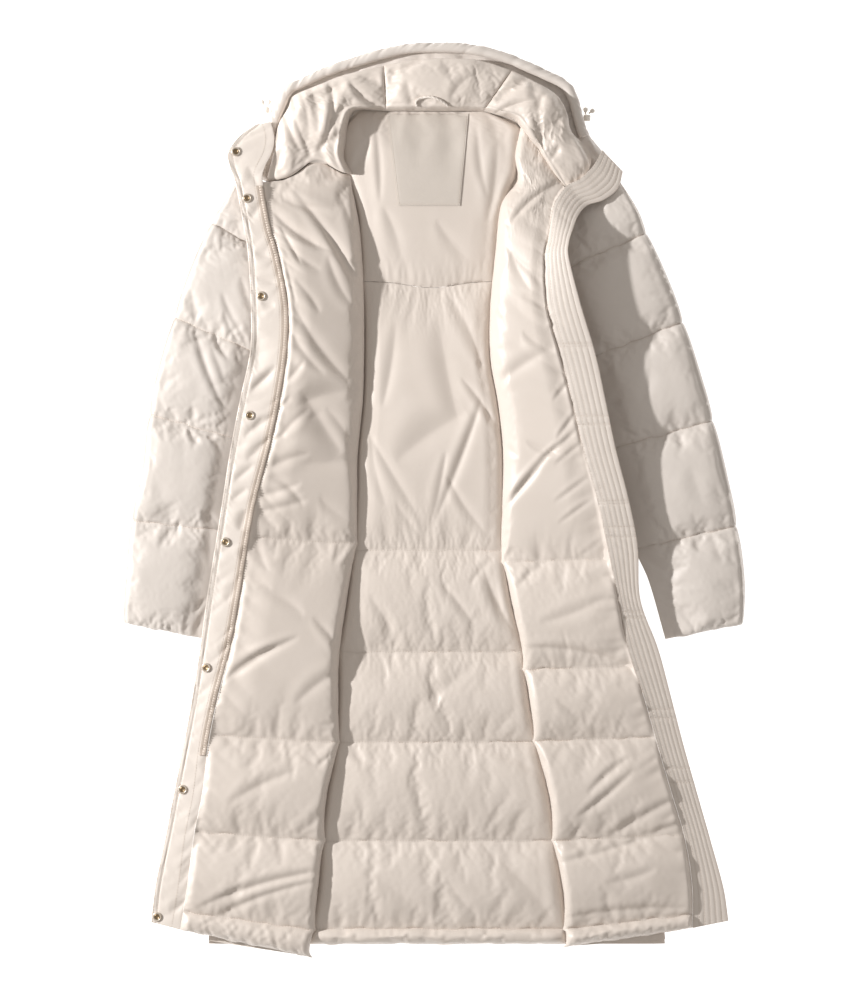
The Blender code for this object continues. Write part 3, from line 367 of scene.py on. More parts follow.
@dataclass(frozen=True)
class Bays:
    """Stations along a quilted piece: row positions, shares of a bay and the seams' rows."""

    places: Array
    share: Array
    seams: tuple[int, ...]

    @classmethod
    def lay(cls, seams: list[tuple[float, float]], pitch: float) -> "Bays":
        """Even steps in each bay, an even number of them, so that half of them meet its seams.

        Args:
            seams: Row position of each seam and the length of the bay before it.
            pitch: Wished distance between stations.

        Returns:
            The stations.
        """
        places, shares, rows = [], [], [0]
        for (start, _), (end, length) in zip(seams[:-1], seams[1:]):
            steps = 2 * max(2, round(length / pitch / 2))
            share = np.arange(steps) / steps
            places.append(start + (end - start) * share)
            shares.append(share)
            rows.append(rows[-1] + steps)
        places.append(np.array([seams[-1][0]]))
        shares.append(np.zeros(1))
        return cls(np.concatenate(places), np.concatenate(shares), tuple(rows))

    @classmethod
    def at_heights(cls, table: Table, column: str, heights: tuple[float, ...],
                   pitch: float) -> "Bays":
        """Stations between seams that are given by their heights in a table's column."""
        lengths = [0.0, *(abs(a - b) for a, b in zip(heights[:-1], heights[1:]))]
        seams = [(table.find(column, height), length)
                 for height, length in zip(heights, lengths)]
        return cls.lay(seams, pitch)

    @property
    def puff(self) -> Array:
        """Fullness at each station, a half sine over each bay to the power 0.62."""
        return (np.sin(np.pi * self.share).clip(0) ** 0.62)[:, None]


def in_metres(x: Array, y: Array, z: Array) -> Array:
    """Stack table coordinates into points in metres about the coat's origin.

    Formula: y rises by a bell of 24 mm round the middle of the right neck seam, which arches,
    and falls by one of 9 mm round the middle of the yoke seam, which sags.
    """
    arch = (24.0 * np.exp(-((x + 164.0) / 27.0) ** 2 - ((y - 452.0) / 36.0) ** 2)
            - 9.0 * np.exp(-((x + 4.0) / 46.0) ** 2 - ((y - 305.0) / 40.0) ** 2))
    return (np.stack(np.broadcast_arrays(x, y + arch, z), axis=-1) + SHIFT) * MM


def mix(start: Array, end: Array, share: Array) -> Array:
    """Value that lies the share of the way from start to end."""
    return start + (end - start) * share


def between(rows: dict[str, Array], start: str, end: str, share: Array, z: Array) -> Array:
    """Points at height z, the share of the way from each row's start to its end."""
    x, y = (mix(rows[f"{start}_{axis}"], rows[f"{end}_{axis}"], share) for axis in "xy")
    return in_metres(x, y, z)


def gap(rows: dict[str, Array], start: str, end: str) -> Array:
    """Plan distance from each row's start to its end, in mm."""
    return np.hypot(*(rows[f"{end}_{axis}"] - rows[f"{start}_{axis}"] for axis in "xy"))


def unit(vectors: Array) -> Array:
    """Vectors of length 1 in the same directions."""
    return vectors / np.maximum(np.linalg.norm(vectors, axis=-1, keepdims=True), 1e-12)


def distance_along(points: Array, axis: int = 0) -> Array:
    """Distance of each point from the first, travelled along an axis of their grid."""
    steps = np.linalg.norm(np.diff(points, axis=axis), axis=-1)
    start = np.zeros_like(steps.take([0], axis=axis))
    return np.concatenate((start, np.cumsum(steps, axis=axis)), axis=axis)


def waver(along: Array, size: float, seed: int) -> Array:
    """Uneven sideways run of a hand-guided seam: three sines of unlike lengths, in mm."""
    return size * (np.sin(along / 6.1 + seed) + 0.8 * np.sin(along / 13.7 + 2.3 * seed)
                   + 0.5 * np.sin(along / 3.7 + 3.1 * seed)) / 1.6


def smooth(share: Array) -> Array:
    """Even step from 0 to 1: 3t^2 - 2t^3."""
    t = np.clip(share, 0, 1)
    return t ** 2 * (3 - 2 * t)


def inset(distance: Array, total: Array, width: float) -> Array:
    """1 inside, and falling evenly to 0 over a width at both ends of a distance."""
    return np.clip(distance / width, 0, 1) * np.clip((total - distance) / width, 0, 1)


def crease_relief(source: Source, x: Array, y: Array) -> Array:
    """Height of soft creases over plan points, in mm.

    Formula: across each bowed line a trough exp(-|a/w|^1.5) with a lower bell of 0.4 times its
    height beside it. With e = 1 - (2s - 1)^2 over the line's length, the depth dies away
    towards its ends as e^0.8 and the width falls to half; the bow is a parabola.

    Args:
        source: Table of creases.
        x: Plan places across, in table mm.
        y: Plan places along.

    Returns:
        Height, negative in the troughs.
    """
    height = np.zeros_like(x)
    for x0, y0, x1, y1, bow, half_width, depth in Table(source).rows:
        length = math.hypot(x1 - x0, y1 - y0)
        share = ((x - x0) * (x1 - x0) + (y - y0) * (y1 - y0)) / length ** 2
        aside = ((x - x0) * (y1 - y0) - (y - y0) * (x1 - x0)) / length
        aside = aside - bow * 4 * share * (1 - share) * (np.abs(share - 0.5) < 0.7)
        swell = np.clip(1 - (2 * share - 1) ** 2, 0, 1)
        width = half_width * (0.5 + 0.5 * swell)
        beside = np.exp(-((aside / width - 1.8) / 1.3) ** 2)
        trough = np.exp(-np.abs(aside / width) ** 1.5)
        height += depth * swell ** 0.8 * (0.4 * beside - trough)
    return height


@dataclass(frozen=True)
class Gathers:
    """Puckers that run off a seam, uneven in spacing, reach, width and depth (mm)."""

    spacing: float
    reach: float
    depth: float
    lean: float = 0.0
    seed: int = 1
    root: float = 0.25

    def relief(self, away: Array, along: Array) -> Array:
        """Height of the puckers.

        Formula: a row of valleys exp(-|d/w|^1.5) at uneven places along the seam, less their
        mean, times a share that starts at root on the seam, peaks at a fifth of the reach and
        dies away. The reach swings by a third along the seam; lean slants the valleys, and a
        slow sine bends them.

        Args:
            away: Distance from the seam.
            along: Distance along the seam.

        Returns:
            Height in mm.
        """
        chance = np.random.default_rng(self.seed)
        first, last = along.min() - 60, along.max() + 60
        count = max(3, int((last - first) / self.spacing))
        places = np.sort(chance.uniform(first, last, count))
        places = 0.5 * places + 0.5 * np.linspace(first, last, count)
        widths = self.spacing * chance.uniform(0.18, 0.42, count)
        depths = self.depth * chance.uniform(0.25, 1.0, count)
        line = np.arange(first, last, 0.7)
        row = -(depths * np.exp(-np.abs((line[:, None] - places) / widths) ** 1.5)).sum(axis=1)
        row -= row.mean()
        reach = self.reach * (1 + 0.35 * np.sin(along / (self.spacing * 1.7) + 2.0 * self.seed))
        near = np.maximum(away, 0) / reach
        share = self.root * np.exp(-6 * near) + 5 * near * np.exp(1 - 5 * near)
        bend = 0.01 * self.spacing * np.sin(along / (self.spacing * 3.1) + self.seed)
        return share * np.interp(along + (bend - self.lean) * away, line, row)


def gather(away: Array, along: Array, *rows: Gathers, near: float = math.inf) -> Array:
    """Height of several rows of gathers together, cut off near mm from their seam."""
    return sum(row.relief(away, along) for row in rows) * (away < near)


# ---------------------------------------------------------------- cloth faces and meshes
@dataclass
class Face:
    """Grid of points of one cloth face: rows along the piece, columns across it.

    Sewing holds the rows in seams, and the layer on top the columns in pressed. free bounds the
    columns that are simulated, and up is a column that faces upwards, else the middle one.
    """

    points: Array
    seams: tuple[int, ...] = ()
    pressed: tuple[int, ...] = ()
    free: tuple[int, int | None] = (0, None)
    up: int | None = None
    tube: bool = False

    @property
    def loose(self) -> slice:
        """Columns that are simulated."""
        return slice(*self.free)

    @property
    def held(self) -> Array:
        """Which points are kept in place."""
        held = np.zeros(self.points.shape[:2], dtype=bool)
        held[list(self.seams)] = True
        held[:, list(self.pressed)] = True
        return held

    @property
    def turn(self) -> float:
        """1 where along x across points outwards, else -1."""
        up = self.points.shape[1] // 2 if self.up is None else self.up
        along = np.diff(self.points[:, up], axis=0)
        across = self.points[:-1, up + 1] - self.points[:-1, up]
        return float(np.sign(np.cross(along, across)[:, 2].mean()))

    def normals(self) -> Array:
        """Outward unit normals: the cross product of the slopes along and across."""
        if self.tube:
            across = np.roll(self.points, -1, axis=1) - np.roll(self.points, 1, axis=1)
        else:
            across = np.gradient(self.points, axis=1)
        return unit(np.cross(np.gradient(self.points, axis=0), across) * self.turn)

    def push(self, height: Array) -> None:
        """Move the points out along their normals by a height in mm."""
        self.points = self.points + self.normals() * (height * MM)[..., None]

    def slide(self, distance: Array) -> None:
        """Move the points along the piece by a distance in mm."""
        along = unit(np.gradient(self.points, axis=0))
        self.points = self.points + along * (distance * MM)[..., None]

    def distances(self) -> tuple[Array, Array]:
        """Distances from the first row and from the first column, in mm."""
        return distance_along(self.points, 0) / MM, distance_along(self.points, 1) / MM

    def plan(self) -> tuple[Array, Array]:
        """Plan coordinates in table mm."""
        table = self.points / MM - SHIFT
        return table[..., 0], table[..., 1]

    def read(self, rows: Array | float, columns: Array | float) -> "Path":
        """Path through fractional rows and columns, read between the four nearest points."""
        rows, columns = (np.clip(np.asarray(places, dtype=float), 0, count - 1.001)
                         for places, count in zip((rows, columns), self.points.shape))
        rows, columns = np.broadcast_arrays(rows, columns)
        row, column = rows.astype(int), columns.astype(int)
        down, side = (rows - row)[:, None], (columns - column)[:, None]
        return Path(*(mix(mix(values[row, column], values[row, column + 1], side),
                          mix(values[row + 1, column], values[row + 1, column + 1], side), down)
                      for values in (self.points, self.normals())))


def new_object(name: str, data: bpy.types.ID) -> bpy.types.Object:
    """Object at the origin, linked to the scene."""
    made = bpy.data.objects.new(name, data)
    bpy.context.scene.collection.objects.link(made)
    return made


def configure(target: object, **values: object) -> None:
    """Set several attributes."""
    for name, value in values.items():
        setattr(target, name, value)


def add_mesh(name: str, points: Array, faces: list, finish: bpy.types.Material,
             chart: Array | None = None, sharp: float = 70.0) -> bpy.types.Object:
    """Link a smooth mesh at the origin.

    Args:
        name: Name of the piece.
        points: Points in metres, any shape that ends in 3.
        faces: Lists of point numbers.
        finish: Its material.
        chart: Cloth coordinates of each point, in metres, for the weave.
        sharp: Angle in degrees over which an edge stays sharp.

    Returns:
        The object.
    """
    mesh = bpy.data.meshes.new(name)
    mesh.from_pydata(points.reshape(-1, 3).tolist(), [], faces)
    if chart is not None:
        layer = mesh.uv_layers.new(name="cloth")
        corners = np.empty(len(mesh.loops), dtype=np.int32)
        mesh.loops.foreach_get("vertex_index", corners)
        layer.data.foreach_set("uv", chart.reshape(-1, 2)[corners].astype(np.float32).ravel())
    mesh.shade_smooth()
    mesh.set_sharp_from_angle(angle=math.radians(sharp))
    mesh.materials.append(finish)
    return new_object(name, mesh)


def numbered(rows: int, columns: int) -> Array:
    """Point numbers of a grid."""
    return np.arange(rows * columns).reshape(rows, columns)


def quads(numbers: Array, wrap: bool = False) -> Array:
    """Quads over a grid of point numbers, along first and then across."""
    if wrap:
        numbers = np.hstack((numbers, numbers[:, :1]))
    corners = (numbers[:-1, :-1], numbers[1:, :-1], numbers[1:, 1:], numbers[:-1, 1:])
    return np.stack(corners, axis=-1).reshape(-1, 4)


def ring_faces(rings: int, sides: int, order: int = 1) -> list:
    """Quads between rings of points and a polygon at each end, turned over by order -1."""
    numbers = numbered(rings, sides)
    faces = [*quads(numbers, wrap=True).tolist(), numbers[0].tolist(), numbers[-1, ::-1].tolist()]
    return [face[::order] for face in faces]


def close_wall(name: str, face: Face, inner: Array, knots: Array,
               finish: bpy.types.Material) -> bpy.types.Object:
    """Closed wall between a fine outer face and an inner face with fewer columns.

    Formula: the inner face keeps every row and only the knots' columns; the sides are quads
    from row to row, and each end is one polygon for each span between two knots.

    Args:
        name: Name of the piece.
        face: The outer face.
        inner: Inner points, rows x knots x 3.
        knots: Outer column that each inner column belongs to.
        finish: Its material.

    Returns:
        The object.
    """
    rows, columns = face.points.shape[:2]
    top = numbered(rows, columns)
    under = rows * columns + numbered(rows, len(knots))
    faces = quads(top, face.tube).tolist() + quads(under, face.tube)[:, ::-1].tolist()
    if not face.tube:
        for column, order in ((0, -1), (-1, 1)):
            edge = np.stack((top[:, column], under[:, column]), axis=-1)
            faces += quads(edge)[:, ::order].tolist()
    stops = np.append(knots, columns) if face.tube else knots
    for span, (start, stop) in enumerate(zip(stops[:-1], stops[1:])):
        beside = (span + 1) % len(knots)
        across = np.arange(start, stop + 1) % columns
        faces.append([*top[0, across], under[0, beside], under[0, span]])
        faces.append([*top[-1, across[::-1]], under[-1, span], under[-1, beside]])
    if face.turn < 0:
        faces = [corners[::-1] for corners in faces]
    chart = np.stack(face.distances()[::-1], axis=-1) * MM
    chart = np.concatenate((chart.reshape(-1, 2), chart[:, knots].reshape(-1, 2)))
    points = np.concatenate((face.points.reshape(-1, 3), inner.reshape(-1, 3)))
    return add_mesh(name, points, faces, finish, chart)


def tube_along(centre: Array, radius: Array, sides: int, flat: float = 1.0) -> tuple[Array, list]:
    """Tube along a path that lies flat on the surface, with closed ends.

    Formula: rings in the plane of the path's side direction and +Z, of the path's radius, and
    flat times as high; each end closes on a polygon.

    Args:
        centre: Path, n x 3, in metres.
        radius: Radius at each path point, n x sides, in metres.
        sides: Points round the tube.
        flat: Height over width.

    Returns:
        Points n x sides x 3, and faces.
    """
    along = unit(np.gradient(centre, axis=0))
    aside = unit(np.cross(along, (0.0, 0.0, 1.0)))
    up = np.cross(aside, along)
    turn = np.linspace(0, 2 * np.pi, sides, endpoint=False)[:, None]
    points = centre[:, None] + radius[..., None] * (
        np.cos(turn) * aside[:, None] + flat * np.sin(turn) * up[:, None])
    return points, ring_faces(len(centre), sides)


def turned(profile: Profile, sides: int, place: Vector, axis: Vector) -> tuple[Array, list]:
    """Profile of radius and height (mm) turned round an axis.

    Formula: (r cos a, r sin a, h) for each profile point and angle, set square to the axis;
    the profile's first and last points close on a polygon each.

    Args:
        profile: Radius and height of each ring, from the foot up and round to the middle.
        sides: Points round it.
        place: Foot of the axis, in metres.
        axis: Its direction.

    Returns:
        Points rings x sides x 3, and faces.
    """
    turn = np.linspace(0, 2 * np.pi, sides, endpoint=False)
    radius, height = np.array(profile, dtype=float).T[..., None] * MM
    rings = np.stack((radius * np.cos(turn), radius * np.sin(turn), height + 0 * turn), axis=-1)
    matrix = np.array(axis.to_track_quat("Z", "Y").to_matrix())
    return rings @ matrix.T + np.array(place), ring_faces(len(profile), sides, -1)


def join_parts(parts: list[tuple[Array, list]]) -> tuple[Array, list]:
    """Points and faces of several parts as one mesh."""
    points, faces, count = [], [], 0
    for part, sides in parts:
        points.append(part.reshape(-1, 3))
        faces += [[corner + count for corner in side] for side in sides]
        count += len(points[-1])
    return np.concatenate(points), faces


# ---------------------------------------------------------------- cloth simulation
@dataclass(frozen=True)
class Inflation:
    """Cloth settings of a padded face that its seams hold down."""

    pressure: float = 2.0
    ease: float = 0.025
    bending: float = 0.35
    frames: int = 20
    cap: float = 6.0
    margin: int = 10

    def start(self, name: str, face: Face) -> bpy.types.Object:
        """Every second point of the face as a mesh with its cloth, ready to be stepped.

        Args:
            name: Name of the piece.
            face: Its face.

        Returns:
            The simulated object.
        """
        points = face.points[::2, face.loose][:, ::2].copy()
        held = face.held[::2, face.loose][:, ::2]
        held[[0, -1]] = True
        held[:, [0, -1]] = True
        chance = np.random.default_rng(len(points))
        points[..., 2] += chance.normal(0, 0.15 * MM, held.shape) * ~held
        faces = quads(numbered(*held.shape))[:, ::int(face.turn)].tolist()
        mesh = bpy.data.meshes.new(f"{name}_cloth")
        mesh.from_pydata(points.reshape(-1, 3).tolist(), [], faces)
        cloth = new_object(f"{name}_cloth", mesh)
        cloth.vertex_groups.new(name="held").add(np.flatnonzero(held).tolist(), 1.0, "REPLACE")
        modifier = cloth.modifiers.new("Cloth", "CLOTH")
        configure(modifier.point_cache, frame_start=1, frame_end=self.frames)
        configure(modifier.collision_settings, use_collision=False, use_self_collision=False)
        configure(modifier.settings, vertex_group_mass="held", quality=5, mass=0.15,
                  tension_stiffness=15.0, compression_stiffness=15.0, shear_stiffness=5.0,
                  bending_stiffness=self.bending, shrink_min=-self.ease, use_pressure=True,
                  uniform_pressure_force=self.pressure)
        modifier.settings.effector_weights.gravity = 0.0
        return cloth

    def finish(self, cloth: bpy.types.Object, face: Face) -> None:
        """Read the settled cloth, cap and fade its moves, spread them over the face, and clear up.

        Args:
            cloth: The simulated object.
            face: The face that it belongs to, whose points are moved.
        """
        columns = np.arange(face.points.shape[1])[face.loose]
        rest = face.points[::2, face.loose][:, ::2]
        settled = cloth.evaluated_get(bpy.context.evaluated_depsgraph_get()).to_mesh()
        points = np.empty(rest.size, dtype=np.float32)
        settled.vertices.foreach_get("co", points)
        moves = points.reshape(rest.shape) - rest
        size = np.linalg.norm(moves, axis=-1, keepdims=True) + 1e-9
        moves = moves / size * self.cap * MM * np.tanh(size / (self.cap * MM))
        spread_rows = blend_rows(rest.shape[0], np.arange(len(face.points)) / 2)
        spread_columns = blend_rows(rest.shape[1], np.arange(len(columns)) / 2)
        fine = np.einsum("ri,ijk,cj->rck", spread_rows, moves, spread_columns)
        ends = np.minimum(np.arange(len(columns)), np.arange(len(columns))[::-1]) / self.margin
        face.points[:, face.loose] += fine * smooth(ends)[:, None]
        mesh = cloth.data
        bpy.data.objects.remove(cloth, do_unlink=True)
        bpy.data.meshes.remove(mesh)


# ---------------------------------------------------------------- finishes
class Tree:
    """Short calls that add, set and link the nodes of one tree."""

    def __init__(self, tree: bpy.types.NodeTree) -> None:
        """Work on a tree."""
        self.tree = tree

    def feed(self, node: bpy.types.Node, inputs: dict[str | int, object]) -> None:
        """Link a socket to each input of a node, or set it to a constant."""
        for name, value in inputs.items():
            if isinstance(value, bpy.types.NodeSocket):
                self.tree.links.new(value, node.inputs[name])
            else:
                node.inputs[name].default_value = value

    def node(self, kind: str, inputs: dict[str | int, object] | None = None,
             **settings: object) -> bpy.types.Node:
        """New node of a kind with its settings and its inputs."""
        made = self.tree.nodes.new(kind)
        configure(made, **settings)
        self.feed(made, inputs or {})
        return made

    def math(self, operation: str, *values: object) -> bpy.types.NodeSocket:
        """Result of a math node on sockets or numbers."""
        return self.node("ShaderNodeMath", dict(enumerate(values)), operation=operation).outputs[0]


def new_group(name: str, inputs: dict[str, tuple[str, float]],
              outputs: tuple[str, ...]) -> tuple[Tree, bpy.types.Node, bpy.types.Node]:
    """Empty shader node group with its named sockets.

    Args:
        name: Name of the group.
        inputs: Socket type and default of each input.
        outputs: Names of its number outputs.

    Returns:
        Its tree, its input node and its output node.
    """
    group = bpy.data.node_groups.new(name, "ShaderNodeTree")
    for label, (kind, default) in inputs.items():
        socket = group.interface.new_socket(label, in_out="INPUT", socket_type=kind)
        if kind == "NodeSocketFloat":
            socket.default_value = default
    for label in outputs:
        group.interface.new_socket(label, in_out="OUTPUT", socket_type="NodeSocketFloat")
    tree = Tree(group)
    return tree, tree.node("NodeGroupInput"), tree.node("NodeGroupOutput")


class Effects:
    """Node groups that more than one finish uses, each built once."""

    def __init__(self) -> None:
        """Build the groups."""
        self.weave = self.build_weave()
        self.crinkle = self.build_crinkle()

    def build_weave(self) -> bpy.types.NodeTree:
        """Plain weave: the height is the larger of two crossed rows of thread, each a sine."""
        tree, entry, end = new_group("plain_weave", {
            "Chart": ("NodeSocketVector", 0.0), "Threads": ("NodeSocketFloat", 2000.0)},
            ("Height",))
        split = tree.node("ShaderNodeSeparateXYZ", {0: entry.outputs["Chart"]})
        angle = {axis: tree.math("MULTIPLY", tree.math(
            "MULTIPLY", split.outputs[axis], entry.outputs["Threads"]), math.pi) for axis in "XY"}
        rows = []
        for axis, other in ("XY", "YX"):
            wave = tree.math("ABSOLUTE", tree.math("SINE", angle[axis]))
            swing = tree.math("ADD", tree.math("SINE", angle[other]), 2.0)
            rows.append(tree.math("MULTIPLY", wave, swing))
        tree.feed(end, {"Height": tree.math("MAXIMUM", *rows)})
        return tree.tree

    def build_crinkle(self) -> bpy.types.NodeTree:
        """Small crinkles: soft noise with a ridged noise over it, and a mask of its broad part."""
        tree, entry, end = new_group("small_crinkles", {
            "Place": ("NodeSocketVector", 0.0), "Scale": ("NodeSocketFloat", 30.0),
            "Ridges": ("NodeSocketFloat", 0.5)}, ("Height", "Mask"))
        soft, ridged = (tree.node("ShaderNodeTexNoise", {
            "Vector": entry.outputs["Place"], "Detail": detail, "Distortion": distortion,
            "Scale": tree.math("MULTIPLY", entry.outputs["Scale"], factor)},
            noise_type=kind).outputs["Fac"] for kind, detail, distortion, factor in (
                ("FBM", 3.0, 0.6, 1.0), ("RIDGED_MULTIFRACTAL", 2.0, 1.1, 0.55)))
        sharp = tree.math("MULTIPLY", ridged, entry.outputs["Ridges"])
        tree.feed(end, {"Height": tree.math("ADD", soft, sharp), "Mask": soft})
        return tree.tree


def new_material(name: str) -> tuple[bpy.types.Material, Tree, bpy.types.Node]:
    """Material, its tree and its Principled shader."""
    made = bpy.data.materials.new(name)
    made.use_nodes = True
    return made, Tree(made.node_tree), made.node_tree.nodes["Principled BSDF"]


def vary(tree: Tree, shader: bpy.types.Node, mask: bpy.types.NodeSocket,
         tones: tuple[tuple[float, ...], tuple[float, ...]], rough: tuple[float, float]) -> None:
    """Run a shader's colour between two tones, and its roughness between two values.

    Args:
        tree: The material's tree.
        shader: Its shader.
        mask: Where between the two each point is.
        tones: Colours at mask 0 and 1.
        rough: Roughness at mask 0 and 1.
    """
    tint = tree.node("ShaderNodeMix", {"A": (*tones[0], 1), "B": (*tones[1], 1), "Factor": mask},
                     data_type="RGBA")
    level = tree.node("ShaderNodeMapRange", {"To Min": rough[0], "To Max": rough[1], "Value": mask})
    tree.feed(shader, {"Base Color": tint.outputs["Result"], "Roughness": level.outputs["Result"]})


@dataclass(frozen=True)
class ClothFinish:
    """Woven cloth in two close tones, with its weave and small crinkles in relief."""

    name: str
    tone: tuple[float, float, float]
    shade: tuple[float, float, float]
    roughness: float
    coat: float = 0.0
    sheen: float = 0.1
    threads: float = 2000.0
    weave: float = 0.12
    crinkle_scale: float = 34.0
    crinkle: float = 0.5
    ridges: float = 0.5

    def build(self, effects: Effects) -> bpy.types.Material:
        """Principled cloth with the shared weave and crinkle groups in its bump.

        Args:
            effects: The shared groups.

        Returns:
            The material.
        """
        made, tree, shader = new_material(self.name)
        crinkle = tree.node("ShaderNodeGroup", {
            "Place": tree.node("ShaderNodeTexCoord").outputs["Object"],
            "Scale": self.crinkle_scale, "Ridges": self.ridges}, node_tree=effects.crinkle)
        weave = tree.node("ShaderNodeGroup", {
            "Chart": tree.node("ShaderNodeUVMap", uv_map="cloth").outputs["UV"],
            "Threads": self.threads}, node_tree=effects.weave)
        vary(tree, shader, crinkle.outputs["Mask"], (self.shade, self.tone),
             (self.roughness - 0.05, self.roughness + 0.05))
        fine = tree.node("ShaderNodeBump", {
            "Height": weave.outputs["Height"], "Strength": self.weave, "Distance": 0.0001})
        bump = tree.node("ShaderNodeBump", {
            "Height": crinkle.outputs["Height"], "Strength": self.crinkle, "Distance": 0.0012,
            "Normal": fine.outputs["Normal"]})
        tree.feed(shader, {
            "Normal": bump.outputs["Normal"], "Coat Weight": self.coat, "Coat Roughness": 0.3,
            "Sheen Weight": self.sheen, "Sheen Roughness": 0.5})
        return made


@dataclass(frozen=True)
class HardFinish:
    """Smooth moulded or metal finish with faint mottling from handling."""

    name: str
    tone: tuple[float, float, float]
    roughness: float
    metallic: float = 0.0
    mottle: float = 0.08

    def build(self) -> bpy.types.Material:
        """Principled finish whose colour and roughness vary a little over the piece."""
        made, tree, shader = new_material(self.name)
        noise = tree.node("ShaderNodeTexNoise", {
            "Scale": 400.0, "Vector": tree.node("ShaderNodeTexCoord").outputs["Object"]})
        tones = [tuple(min(1, part * factor) for part in self.tone)
                 for factor in (1 - self.mottle, 1 + self.mottle)]
        vary(tree, shader, noise.outputs["Fac"], tones,
             (self.roughness - 0.06, self.roughness + 0.06))
        tree.feed(shader, {"Metallic": self.metallic})
        return made


class Wardrobe:
    """Every finish of the coat, built once."""

    def __init__(self) -> None:
        """Build the finishes over the shared effects."""
        effects = Effects()
        self.lining = ClothFinish(
            "glossy_lining", (0.715, 0.645, 0.59), (0.675, 0.605, 0.545), 0.42, coat=0.06,
            crinkle_scale=20.0, crinkle=0.2, ridges=0.3).build(effects)
        self.shell = ClothFinish(
            "satin_shell", (0.72, 0.665, 0.62), (0.685, 0.63, 0.585), 0.5, sheen=0.15,
            crinkle_scale=40.0, crinkle=0.3).build(effects)
        self.facing = ClothFinish(
            "stitched_facing", (0.735, 0.67, 0.615), (0.695, 0.63, 0.575), 0.5, coat=0.05,
            threads=1400.0, weave=0.3, crinkle_scale=48.0, crinkle=0.3).build(effects)
        self.patch = ClothFinish(
            "woven_patch", (0.64, 0.58, 0.525), (0.61, 0.555, 0.50), 0.5,
            threads=1600.0, weave=0.35, crinkle_scale=60.0, crinkle=0.18).build(effects)
        self.tape = ClothFinish(
            "zip_tape", (0.55, 0.47, 0.40), (0.51, 0.43, 0.365), 0.6, threads=1000.0, weave=0.6,
            crinkle_scale=80.0, crinkle=0.1).build(effects)
        self.thread = HardFinish("sewing_thread", (0.66, 0.58, 0.51), 0.55).build()
        self.coil = HardFinish("dyed_coil", (0.60, 0.52, 0.45), 0.36).build()
        self.cap = HardFinish("enamelled_ring", (0.60, 0.53, 0.45), 0.3, metallic=0.55).build()
        self.brass = HardFinish("brass_socket", (0.36, 0.27, 0.17), 0.34, metallic=1.0).build()
        self.moulded = HardFinish("moulded_lock", (0.86, 0.81, 0.75), 0.4).build()


# ---------------------------------------------------------------- sewing
@dataclass(frozen=True)
class Path:
    """Line on a cloth face, read at travelled distances."""

    points: Array
    normals: Array

    def at(self, places: Array) -> tuple[Array, Array]:
        """Points and unit normals at travelled distances."""
        travelled = distance_along(self.points)
        point, normal = (np.stack([np.interp(places, travelled, values[:, k]) for k in range(3)],
                                  axis=-1) for values in (self.points, self.normals))
        return point, unit(normal)

    def evenly(self, pitch: float) -> tuple[Array, Array, Array]:
        """Points, unit normals and unit directions at even distances of about pitch mm."""
        length = distance_along(self.points)[-1]
        count = max(1, int(length / (pitch * MM)))
        places = (np.arange(count) + 0.5) / count * length
        half = 0.3 * length / count
        point, normal = self.at(places)
        return point, normal, unit(self.at(places + half)[0] - self.at(places - half)[0])


@dataclass(frozen=True)
class Bead:
    """Small lozenge: four rings of four points along an axis, all sizes in mm."""

    half: float
    width: float
    rise: float
    sink: float = -0.5
    thick: float = 1.0

    def copies(self, centre: Array, axis: Array, normal: Array) -> tuple[Array, list]:
        """One lozenge at each centre.

        Formula: rings at -1, -0.45, 0.45 and 1 times half along the axis, the outer two
        smaller and sunk, the inner two full and raised, each a square turned by 45 degrees.

        Args:
            centre: Centres, n x 3, in metres.
            axis: Unit direction of each lozenge's length.
            normal: Unit direction away from the cloth.

        Returns:
            Points and faces.
        """
        aside = np.cross(axis, normal)[:, None, None]
        shift = np.array((-1.0, -0.45, 0.45, 1.0)) * self.half * MM
        lift = np.array((self.sink, self.rise, self.rise, self.sink)) * self.width * MM
        width = np.array((0.5, 1.0, 1.0, 0.5))[:, None] * self.width * MM
        turn = np.radians((45, 135, 225, 315))
        spine = (centre[:, None] + axis[:, None] * shift[:, None] + normal[:, None] * lift[:, None])
        rings = (spine[:, :, None] + aside * (width * np.cos(turn))[..., None]
                 + normal[:, None, None] * (self.thick * width * np.sin(turn))[..., None])
        first = 16 * np.arange(len(centre))[:, None, None]
        return rings.reshape(-1, 3), (np.array(ring_faces(4, 4)) + first).reshape(-1, 4).tolist()


@dataclass(frozen=True)
class Sewing:
    """Rows of stitches of one thread."""

    pitch: float = 4.0
    bead: Bead = Bead(half=1.5, width=0.33, rise=0.75)

    def stitches(self, run: Path) -> tuple[Array, list]:
        """Stitches at even distances along a path."""
        point, normal, along = run.evenly(self.pitch)
        return self.bead.copies(point, along, normal)

    def sew(self, name: str, slot: Slot, runs: list[Path], thread: bpy.types.Material) -> None:
        """All the stitches of one piece as one mesh.

        Args:
            name: Name of the mesh.
            slot: Its finish slot, passed on to declare, which does not use it.
            runs: Seams that show their stitches.
            thread: Finish of the thread.
        """
        if runs:
            points, faces = join_parts([self.stitches(run) for run in runs])
            declare(add_mesh(name, points, faces, thread), slot)


# ---------------------------------------------------------------- coat pieces
def declare(piece: bpy.types.Object, slot: Slot, *nodes: str) -> bpy.types.Object:
    """Set a piece on the coat's body and hide the solids that it stands for."""
    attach(piece, "root")
    if nodes:
        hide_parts(*nodes)
    LOG.info("%s: %d faces", piece.name, len(piece.data.polygons))
    return piece


